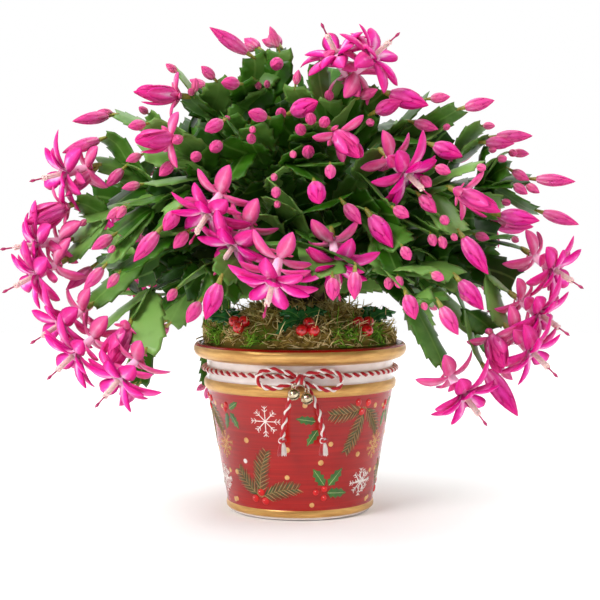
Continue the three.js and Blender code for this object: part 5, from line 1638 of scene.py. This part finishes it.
def holly_material(looks):
    """Waxed evergreen leaf: dark and glossy, with a pale midrib."""
    material, tree, shader = started("holly_leaf_waxed", {
        "Roughness": 0.26, "IOR": 1.45, "Coat Weight": 0.35, "Coat Roughness": 0.2,
    })
    across = node(tree, "Attribute", {"attribute_name": "across"}).outputs["Fac"]
    where = node(tree, "TexCoord").outputs["Object"]
    cloud = node(tree, "TexNoise", {"Scale": per(6), "Detail": 3.0}, {"Vector": where})
    green = node(tree, "ValToRGB", {
        "stops": [(0.3, looks.holly_dark), (0.7, looks.holly_green)],
    }, {"Fac": cloud})
    side = node(tree, "Math", {"operation": "ABSOLUTE"}, {0: across})
    rib = node(tree, "MapRange", {"From Min": 0.04, "From Max": 0.12, "To Min": 0.7, "To Max": 0.0},
               {"Value": side})
    ribbed = node(tree, "Mix", {"data_type": "RGBA", 7: (*looks.holly_rib, 1.0)},
                  {0: rib, 6: green})
    link(tree, shader, {"Base Color": ribbed.outputs[2]})
    return material


def dress_holly(looks):
    """Three picks: spiny leaves on a stalk, and lacquered berries with their dark dried calyx."""
    leaf = holly_material(looks)
    red = speckled("berry_lacquered", "#BE0C16", looks.berry_red, 7,
                   {"Roughness": 0.12, "IOR": 1.5, "Coat Weight": 0.8, "Coat Roughness": 0.05}, 0.05)
    calyx = speckled("berry_calyx", "#1A0F08", "#3A2412", 1, {"Roughness": 0.8}, 0.1)
    bends = np.linspace(0, pi, 17)
    ball = [(max(0.05, BERRY_RADIUS * sin(t)), -BERRY_RADIUS * cos(t)) for t in bends]
    for name, pick in HOLLY_PICKS.items():
        x, y = pick["stalk"]
        top = float(moss_height(hypot(x, y), atan2(y, x))) + 4
        leaves = Skin("across")
        stalk(leaves, (x, y), top)
        for leaf_way in pick["leaves"]:
            holly_leaf(leaves, np.array([x, y, top + 0.6]), *leaf_way)
        leaves.piece(f"holly_{name}_leaves", [leaf], "holly", [f"holly_leaves_{name}"])
        first = pick["berries"][0]
        level = float(moss_height(hypot(first[0], first[1]), atan2(first[1], first[0])))
        level += BERRY_RADIUS + 2
        berries = Skin()
        stalk(berries, first, level)
        for bx, by, down in pick["berries"]:
            berries.lofts(turned_rings(ball, 28) + np.array([bx, by, level + down]))
            tilt = unit(np.array([bx - x * 0.6, by - y * 0.6 - 30, 8.0]))
            along, across, normal = frame_along(tilt, UP)
            local = turned_rings([(0.6, 0), (0.55, 0.22), (0.3, 0.32), (0.03, 0.3)], 8)
            spot = np.array([bx, by, level + down]) + along * (BERRY_RADIUS - 0.1)
            berries.lofts(placed(local, spot, across, normal, along), zone=1)
        berries.piece(f"holly_{name}_berries", [red, calyx], "berry", [f"holly_berries_{name}"])


# Twine, bow and bells


def blend(first, last, start, end, t):
    """From one point to another as t goes from a start to an end."""
    return (end - t) / (end - start) * first + (t - start) / (end - start) * last


def reached_along(line):
    """How far along a line each of its points lies."""
    return np.concatenate([[0], np.cumsum(norm(np.diff(line, axis=0), axis=1))])


def smooth_line(points, step):
    """Points about a step apart on the centripetal curve through the given ones."""
    given = [np.array(point, float) for point in points]
    given = [2 * given[0] - given[1], *given, 2 * given[-1] - given[-2]]
    line = []
    for a, b, c, d in zip(given, given[1:], given[2:], given[3:]):
        t1 = norm(b - a) ** 0.5
        t2 = t1 + norm(c - b) ** 0.5
        t3 = t2 + norm(d - c) ** 0.5
        t = np.linspace(t1, t2, 24, endpoint=False)[:, None]
        ab, bc, cd = blend(a, b, 0, t1, t), blend(b, c, t1, t2, t), blend(c, d, t2, t3, t)
        line.append(blend(blend(ab, bc, 0, t2, t), blend(bc, cd, t1, t3, t), t1, t2, t))
    line = np.concatenate([*line, given[-2][None]])
    reached = reached_along(line)
    wanted = np.linspace(0, reached[-1], max(4, int(reached[-1] / step) + 1))
    return np.stack([np.interp(wanted, reached, line[:, i]) for i in range(3)], axis=-1)


def ply_reach(corner):
    """How far out each of the two plies lies in a direction, for a rope whose radius is 1."""
    reach = []
    for offset, radius, side in PLIES:
        inside = radius ** 2 - (offset * np.sin(corner - side)) ** 2
        reach.append(np.where(inside > 0, offset * np.cos(corner - side) + np.sqrt(np.maximum(0, inside)), 0))
    return reach


def ways_along(line, closed):
    """The direction of a line at each of its points."""
    along = np.roll(line, -1, axis=0) - np.roll(line, 1, axis=0) if closed else np.gradient(line, axis=0)
    return along / norm(along, axis=1, keepdims=True)


def rings_round(line, side, other, turn, radius):
    """Rings about a line, their corners at given turns from one of two directions across it."""
    around = np.cos(turn)[..., None] * side[:, None, :] + np.sin(turn)[..., None] * other[:, None, :]
    return line[:, None, :] + radius * around


def rope(skin, line, radius, closed=False, start=0.0, pitch=TWINE_PITCH):
    """A thick red ply and a thin white one twisted together round a line."""
    along = ways_along(line, closed)
    if closed:
        side = np.cross(along, UP)
    else:
        sides = [unit(np.cross(along[0], np.array([0.1, 0.05, 1.0])))]
        for way in along:
            sides.append(unit(sides[-1] - way * (sides[-1] @ way)))
        side = np.array(sides[1:])
    reached = reached_along(line)
    whole = reached[-1] + (norm(line[0] - line[-1]) if closed else 0)
    rounds = round(whole / pitch) if closed else whole / pitch
    twist = start + reached / whole * rounds * 2 * pi
    corner = round_turns(ROPE_SIDES)
    bulge = np.maximum(*ply_reach(corner))
    turn = corner[None, :] + twist[:, None]
    rings = rings_round(line, side, np.cross(along, side), turn, radius * bulge[None, :, None])
    red, white = ply_reach(corner + pi / ROPE_SIDES)
    skin.lofts(rings, zone=np.where(red > white, 0, 1), capped=not closed, closed=closed)


def wire(skin, line, closed=False):
    """A plain round wire along a line."""
    along = ways_along(line, closed)
    side = np.cross(along, np.array([0.05, 1.0, 0.02]))
    side /= norm(side, axis=1, keepdims=True)
    turn = round_turns(8)[None, :]
    skin.lofts(rings_round(line, side, np.cross(along, side), turn, WIRE_RADIUS), closed=closed)


def before_pot(across, height, out):
    """A point in front of the pot, its across laid round a circle so far out."""
    return np.array([out * sin(across / out), -out * cos(across / out), height])


def twine_materials(looks):
    """Spun cotton twine, one ply dyed red and one bleached: matt, with fibres along each ply."""
    finish = {"Roughness": 0.85, "Sheen Weight": 0.35, "Sheen Roughness": 0.5, "Specular IOR Level": 0.25}
    dark_red = tuple(c * 0.6 for c in looks.twine_red)
    dark_white = tuple(c * 0.78 for c in looks.twine_white)
    return [
        speckled("cotton_ply_red", dark_red, looks.twine_red, 0.5, finish, 0.12),
        speckled("cotton_ply_white", dark_white, looks.twine_white, 0.5, finish, 0.12),
    ]


def end_knot(skin, end, draw):
    """A small overhand knot with a frayed tuft of both plies below it."""
    turns = np.linspace(0, 2 * pi, 30)
    coil = points_at(1.75 * np.cos(turns), 1.75 * np.sin(turns), 0.9 * np.sin(turns + 0.6) - 2.2)
    rope(skin, coil + end, TWINE_RADIUS * 0.8)
    corner = np.array([0, 1.57, 3.14, 4.71])
    ring = TUFT_THREAD_RADIUS * points_at(np.cos(corner), np.sin(corner), 0)
    share = np.linspace(0, 1, 5)[:, None]
    for i in range(TUFT_THREADS):
        turn = i * GOLDEN_TURN
        out = np.array([cos(turn), sin(turn)])
        spread = sqrt((i + 0.5) / TUFT_THREADS)
        foot = np.array([*(0.9 * spread * out), -3.0])
        reach = 9.5 + 1.6 * draw()
        tip = np.array([3.6 * spread * out[0], 3.0 * spread * out[1], -3 - reach])
        line = foot + (tip - foot) * share
        line[:, :2] += 0.8 * np.sin(share * 3.1) * out
        rings = end + line[:, None, :] + ring * (1 - 0.3 * share[:, :, None])
        # More of the threads come from the white ply
        skin.lofts(rings, zone=int(out[0] > -0.15))


def dress_twine(looks):
    """The band round the groove, the bow, and the two tails with their end knots."""
    plies = twine_materials(looks)
    draw = seeded_draw(LOOKS_SEED + 3)
    radius = looks.twine_diameter / MM / 2
    for side, route in TAIL_ROUTES.items():
        line = smooth_line(route, 0.6)
        away = norm(line - before_pot(0, BOW_HEIGHT, KNOT_OUT), axis=1)
        line = line[away > 4.2]
        tail = Skin()
        rope(tail, line, radius)
        tail = tail.piece(f"twine_tail_{side}", plies, "twine", [f"tail_{side}"])
        tuft = Skin()
        end_knot(tuft, line[-1], draw)
        tuft = tuft.piece(f"twine_tuft_{side}", plies, "twine", [f"end_knot_{side}"])
        length = float(reached_along(line)[-1])
    band = Skin()
    middle = turned_rings([(GROOVE_RADIUS + TWINE_RADIUS + 0.3, TWINE_HEIGHT)], 800)[0]
    rope(band, middle, radius, closed=True, pitch=BAND_PITCH)
    band.piece("twine_round_pot", plies, "twine", ["twine_band"])
    bow = Skin()
    for start, loop in enumerate(BOW_LOOPS.values()):
        route = [before_pot(x, BOW_HEIGHT + z, BOW_OUT) for x, z in loop]
        rope(bow, smooth_line(route, 0.6), radius, start=start)
    # The knot: two turns of the same twine wrapped round the crossing
    for lean, step in ((0.5, -1.5), (-0.4, 1.4)):
        turns = np.linspace(0.2, 2 * pi - 0.2, 40)
        coil = points_at(step + 1.6 * np.sin(turns) * sin(lean), 3.0 * np.cos(turns), 3.4 * np.sin(turns))
        rope(bow, coil + before_pot(0, BOW_HEIGHT, KNOT_OUT - 0.6), radius)
    bow.piece("twine_bow", plies, "twine", ["bow"])


def bell_shell(skin, centre):
    """A thin ball open along a slot across its lower half, with a raised seam round its middle."""
    bends = np.linspace(0.04, pi - 0.04, 30)
    half_slot = np.where(np.abs(bends - pi / 2) < BELL_SLOT_REACH, BELL_SLOT_WIDTH / 2, 0.01)
    slot = half_slot / (BELL_RADIUS * np.sin(bends))
    slot = slot * (1 + 0.9 * np.exp(-((np.abs(bends - pi / 2) - 0.9) / 0.14) ** 2))
    facing = -pi / 2 - BELL_SLOT_BELOW
    share = np.linspace(0, 1, 44)
    turn = facing + slot[:, None] + share[None, :] * (2 * pi - 2 * slot[:, None])

    def wall(radius, seam):
        sideways, level = np.cos(bends)[:, None], np.sin(bends)[:, None]
        swell = radius + seam * np.exp(-(level * np.sin(turn) * 9) ** 2)
        return points_at(swell * sideways, swell * level * np.cos(turn), swell * level * np.sin(turn))

    outer, inner = wall(BELL_RADIUS, BELL_SEAM), wall(BELL_RADIUS - BELL_WALL, 0.0)
    rings = np.concatenate([outer, inner[:, ::-1]], axis=1)
    tilt = radians(BELL_TILT_DEG)
    across = np.array([cos(tilt), 0, sin(tilt)])
    upright = np.array([-sin(tilt), 0, cos(tilt)])
    skin.lofts(placed(rings, centre, across, np.array([0, 1.0, 0]), upright), capped=False)


def dress_bells(looks):
    """Two small sheet-brass jingle bells, each on a loop of wire in the knot."""
    brass = speckled("brass_antiqued", looks.brass_dark, looks.brass, 3,
                     {"Metallic": 1.0, "Roughness": 0.26}, 0.12)
    steel = speckled("bell_pellet_steel", "#3C3A36", "#77736A", 1,
                     {"Metallic": 1.0, "Roughness": 0.4}, 0.05)
    for side, (x, z) in BELLS.items():
        centre = np.array([x, -BELL_OUT, z])
        skin = Skin()
        bell_shell(skin, centre)
        loop = round_turns(24)
        line = 1.5 * points_at(np.cos(loop), 0, np.sin(loop))
        line = line + centre + np.array([0, 0, BELL_RADIUS + 1.0])
        wire(skin, line, closed=True)
        foot = centre + np.array([0, 0.4, BELL_RADIUS + 2.0])
        knot = before_pot(0, BOW_HEIGHT - 2.5, KNOT_OUT + 1.5)
        wire(skin, np.linspace(foot, knot, 8))
        skin.piece(f"jingle_bell_{side}", [brass], "bell_brass", [f"bell_{side}"])
        finish_node(f"pellet_{side}", steel)


# Stage


def aimed(made, at):
    """Turns a camera or a light, in metres, to look at a point."""
    made.rotation_euler = (Vector(at) - made.location).to_track_quat("-Z", "Y").to_euler()
    return made


def dress_stage(stage):
    """Camera, white floor, three soft lights and a white room."""
    scene = bpy.context.scene
    for name in ("Cube", "Light", "Camera"):
        if name in bpy.data.objects:
            bpy.data.objects.remove(bpy.data.objects[name])
    camera = added("camera", bpy.data.cameras.new("camera"))
    camera.data.lens = stage.lens
    camera.data.sensor_width = SENSOR_WIDTH_MM
    camera.location = (0, -EYE_DISTANCE * MM, EYE_HEIGHT * MM)
    aimed(camera, (0, 0, stage.look_height))
    scene.camera = camera

    mesh = bpy.data.meshes.new("floor")
    corners = [(x * FLOOR_HALF, y * FLOOR_HALF, 0) for x, y in ((-1, -1), (1, -1), (1, 1), (-1, 1))]
    mesh.from_pydata(corners, [], [(0, 1, 2, 3)])
    ground = added("floor", mesh)
    ground.location.z = -FLOOR_DROP
    paper, _, _ = started("paper_sweep_white", {"Base Color": (*stage.floor_colour, 1.0), "Roughness": 0.9})
    mesh.materials.append(paper)

    for name, (place, size) in LIGHTS.items():
        light = bpy.data.lights.new(name, "AREA")
        light.energy = getattr(stage, f"{name}_power")
        light.size = size
        lamp = added(name, light)
        lamp.location = place
        aimed(lamp, LIGHTS_LOOK_AT)
    world = bpy.data.worlds.new("white_room")
    world.use_nodes = True
    tree = world.node_tree
    tree.nodes["Background"].inputs["Color"].default_value = (1, 1, 1, 1)
    # White behind the plant and dim on the near side, so that the glaze isn't veiled by reflections
    where = node(tree, "TexCoord").outputs["Generated"]
    parts = node(tree, "SeparateXYZ", links={"Vector": where})
    shade = node(tree, "MapRange", {
        "From Min": -0.4, "From Max": 0.25, "To Min": stage.near_strength, "To Max": stage.world_strength,
    }, {"Value": parts.outputs["Y"]})
    # What is seen behind the plant is white from every side
    behind = node(tree, "LightPath").outputs["Is Camera Ray"]
    strength = node(tree, "Math", {"operation": "MAXIMUM"}, {0: behind, 1: shade})
    link(tree, tree.nodes["Background"], {"Strength": strength})
    scene.world = world
    scene.view_settings.view_transform = "Standard"


# The add-on


def tint(name, description, code):
    """A colour that a user may change."""
    return bpy.props.FloatVectorProperty(
        name=name, description=description, default=linear(code), subtype="COLOR", size=3, min=0.0, max=1.0)


def metres(name, description, default, least, most):
    """A length in metres that a user may change."""
    return bpy.props.FloatProperty(
        name=name, description=description, default=default, min=least, max=most, unit="LENGTH")


def watts(name, description, default):
    """The power of a light in watts."""
    return bpy.props.FloatProperty(name=name, description=description, default=default, min=0, unit="POWER")


class CactusPotLooks(bpy.types.PropertyGroup):
    """Glaze, gilding and enamel of the pot"""
    glaze_red: tint("Glaze", "Red glaze of the pot's body", "#AA130E")
    glaze_dark: tint("Glaze, thick", "Where the red glaze lies thick", "#920D09")
    glaze_light: tint("Glaze, thin", "Where the red glaze is brushed thin", "#BE2219")
    gold: tint("Gold", "Gold lustre of the bands", "#D2A35C")
    gold_dark: tint("Gold, worn", "Where the lustre is thin", "#B27F42")
    gold_light: tint("Gold, bright", "Where the lustre is thick", "#E8BE78")
    white_glaze: tint("White glaze", "White glaze of the groove and the foot", "#F5EDE8")
    white_shade: tint("White glaze, shaded", "Where the white glaze is thin", "#E6D8CF")
    enamel_lift: metres(
        "Enamel height", "How far the painted enamel stands off the glaze", 0.0003, 0.0001, 0.001)


class CactusPlantLooks(bpy.types.PropertyGroup):
    """Colours and thicknesses of the segments and the flowers"""
    # Segments inside the plant are drawn towards this green as painted shade
    pad_dark: tint("Segment, shaded", "Darkest green of the segments", "#0C2705")
    pad_green: tint("Segment", "Green of the segments", "#31640B")
    pad_light: tint("Segment, young", "Green of young segments and midribs", "#76A04E")
    pad_edge: tint("Segment edge", "Thin edge of a segment", "#6B4A2A")
    bark: tint("Woody segment", "Old segments near the crown", "#7A6845")
    bud_rose: tint("Bud", "Rose of small buds and outer petals", "#E8708C")
    petal_pale: tint("Petal, pale", "Middle and foot of a petal", "#FFD2EA")
    petal_pink: tint("Petal", "Body of a petal", "#E636A8")
    petal_deep: tint("Petal, deep", "Edges and tip of a petal", "#D00078")
    ovary_green: tint("Ovary", "Green under each flower", "#A09A3C")
    ovary_dark: tint("Ovary, shaded", "Shaded green under each flower", "#6C6C24")
    pad_thickness: metres(
        "Segment thickness", "Thickness of a segment at its middle", 0.0021, 0.0008, 0.006)
    petal_thickness: metres(
        "Petal thickness", "Thickness of a petal at its middle", 0.0008, 0.0003, 0.002)


class CactusDressingLooks(bpy.types.PropertyGroup):
    """Moss, holly, twine and bells"""
    moss_straw: tint("Moss, straw", "Lightest strands of the moss", "#F0DCA0")
    moss_brown: tint("Moss, brown", "Common strands of the moss", "#BC9F52")
    # The painted shade at the strands' feet and at the mound's edge goes towards this colour
    moss_dark: tint("Moss, dark", "Darkest strands of the moss", "#66541F")
    moss_green: tint("Moss, green", "Lightest green strands", "#8CC03A")
    # The painted shade at the feet of green strands goes towards this colour
    moss_green_dark: tint("Moss, dark green", "Darkest green strands", "#33590F")
    moss_strands: bpy.props.IntProperty(
        name="Moss strands", description="Number of curled strands", default=5200, min=100, max=6000)
    holly_green: tint("Holly", "Green of the holly leaves", "#39823F")
    holly_dark: tint("Holly, dark", "Darkest green of the holly leaves", "#195229")
    holly_rib: tint("Holly midrib", "Pale midrib of the holly leaves", "#6E9A4A")
    berry_red: tint("Berries", "Red of the holly berries", "#E4161F")
    twine_red: tint("Twine, red", "Dyed ply of the twine", "#C01A26")
    twine_white: tint("Twine, white", "Bleached ply of the twine", "#F8EEE8")
    twine_diameter: metres(
        "Twine diameter", "Diameter of the twisted twine", 2 * TWINE_RADIUS * MM, 0.001, 0.006)
    brass: tint("Brass", "Bright brass of the bells", "#E8DCC0")
    brass_dark: tint("Brass, aged", "Darkened brass of the bells", "#A08A62")


class CactusStageLooks(bpy.types.PropertyGroup):
    """Camera, lights and floor"""
    lens: bpy.props.FloatProperty(
        name="Lens", description="Focal length of the camera", default=86.2, min=20, max=200,
        subtype="DISTANCE_CAMERA")
    look_height: metres("Look height", "Height on the pot's axis that is in the middle", 0.167, 0, 1)
    key_power: watts("Key light", "Power of the light at the left", 30)
    fill_power: watts("Fill light", "Power of the light at the right", 4)
    top_power: watts("Top light", "Power of the wide light above", 110)
    world_strength: bpy.props.FloatProperty(
        name="Room light", description="Strength of the white surroundings", default=1.0, min=0, max=4)
    near_strength: bpy.props.FloatProperty(
        name="Near side", description="Strength of the surroundings in front", default=0.2, min=0, max=4)
    floor_colour: tint("Floor", "White floor", "#FFFFFF")


class CACTUS_OT_add_stage(bpy.types.Operator):
    """Adds the floor, the studio lights and the camera"""
    bl_idname = "cactus.add_stage"
    bl_label = "Stage"

    def execute(self, context):
        dress_stage(context.scene.cactus_stage)
        return {"FINISHED"}


class CACTUS_OT_add_twine(bpy.types.Operator):
    """Adds the twisted twine: its two tails, the band round the pot and the bow"""
    bl_idname = "cactus.add_twine"
    bl_label = "Twine and bow"

    def execute(self, context):
        dress_twine(context.scene.cactus_dressing)
        return {"FINISHED"}


class CACTUS_OT_add_bells(bpy.types.Operator):
    """Adds the two brass jingle bells"""
    bl_idname = "cactus.add_bells"
    bl_label = "Jingle bells"

    def execute(self, context):
        dress_bells(context.scene.cactus_dressing)
        return {"FINISHED"}


class CACTUS_OT_add_pot(bpy.types.Operator):
    """Adds the glazed pot and the enamel painted on it"""
    bl_idname = "cactus.add_pot"
    bl_label = "Glazed pot"

    def execute(self, context):
        looks = context.scene.cactus_pot
        dress_pot(looks)
        dress_enamel(looks)
        return {"FINISHED"}


class CACTUS_OT_add_filling(bpy.types.Operator):
    """Adds the moss and the woody crown, and gives the soil its finish"""
    bl_idname = "cactus.add_filling"
    bl_label = "Soil, moss and crown"

    def execute(self, context):
        finish_node("soil", speckled("potting_mix_damp", "#1E140C", "#4A3624", 3, {"Roughness": 0.95}, 1.2))
        dress_moss(context.scene.cactus_dressing)
        dress_crown()
        return {"FINISHED"}


class CACTUS_OT_add_holly(bpy.types.Operator):
    """Adds the three holly picks that stand in the moss"""
    bl_idname = "cactus.add_holly"
    bl_label = "Holly picks"

    def execute(self, context):
        dress_holly(context.scene.cactus_dressing)
        return {"FINISHED"}


class CACTUS_OT_add_stems(bpy.types.Operator):
    """Adds the leafy stems, one object for each"""
    bl_idname = "cactus.add_stems"
    bl_label = "Leafy stems"

    def execute(self, context):
        looks = context.scene.cactus_plant
        material = pad_material(looks)
        draw = seeded_draw(LOOKS_SEED + 1)
        for number, stem in enumerate(grown()[0], 1):
            dress_stem(number, stem, looks, material, draw)
        return {"FINISHED"}


class CACTUS_OT_add_flowers(bpy.types.Operator):
    """Adds the open blooms, the half-open flowers and the buds"""
    bl_idname = "cactus.add_flowers"
    bl_label = "Flowers"

    def execute(self, context):
        dress_flowers(context.scene.cactus_plant)
        return {"FINISHED"}


class CACTUS_PT_maker(bpy.types.Panel):
    """Lists the pieces of the cactus and what may be changed on them"""
    bl_idname = "CACTUS_PT_maker"
    bl_label = "Christmas Cactus"
    bl_space_type = "VIEW_3D"
    bl_region_type = "UI"
    bl_category = "Cactus"

    def draw(self, context):
        for operator in OPERATORS:
            self.layout.operator(operator.bl_idname)
        for key, group in LOOKS.items():
            box = self.layout.box()
            for name in group.__annotations__:
                box.prop(getattr(context.scene, key), name)


LOOKS = {
    "cactus_stage": CactusStageLooks,
    "cactus_pot": CactusPotLooks,
    "cactus_plant": CactusPlantLooks,
    "cactus_dressing": CactusDressingLooks,
}
OPERATORS = [
    CACTUS_OT_add_stage, CACTUS_OT_add_twine, CACTUS_OT_add_bells, CACTUS_OT_add_pot,
    CACTUS_OT_add_filling, CACTUS_OT_add_holly, CACTUS_OT_add_stems, CACTUS_OT_add_flowers,
]
CLASSES = [*LOOKS.values(), *OPERATORS, CACTUS_PT_maker]


def register():
    for one in CLASSES:
        bpy.utils.register_class(one)
    for key, group in LOOKS.items():
        setattr(bpy.types.Scene, key, bpy.props.PointerProperty(type=group))


def unregister():
    for key in LOOKS:
        delattr(bpy.types.Scene, key)
    for one in reversed(CLASSES):
        bpy.utils.unregister_class(one)


def main():
    register()
    bpy.ops.cactus.add_stage()
    bpy.ops.cactus.add_twine()
    bpy.ops.cactus.add_bells()
    bpy.ops.cactus.add_pot()
    bpy.ops.cactus.add_filling()
    bpy.ops.cactus.add_holly()
    bpy.ops.cactus.add_stems()
    bpy.ops.cactus.add_flowers()


if __name__ == "__main__":
    main()
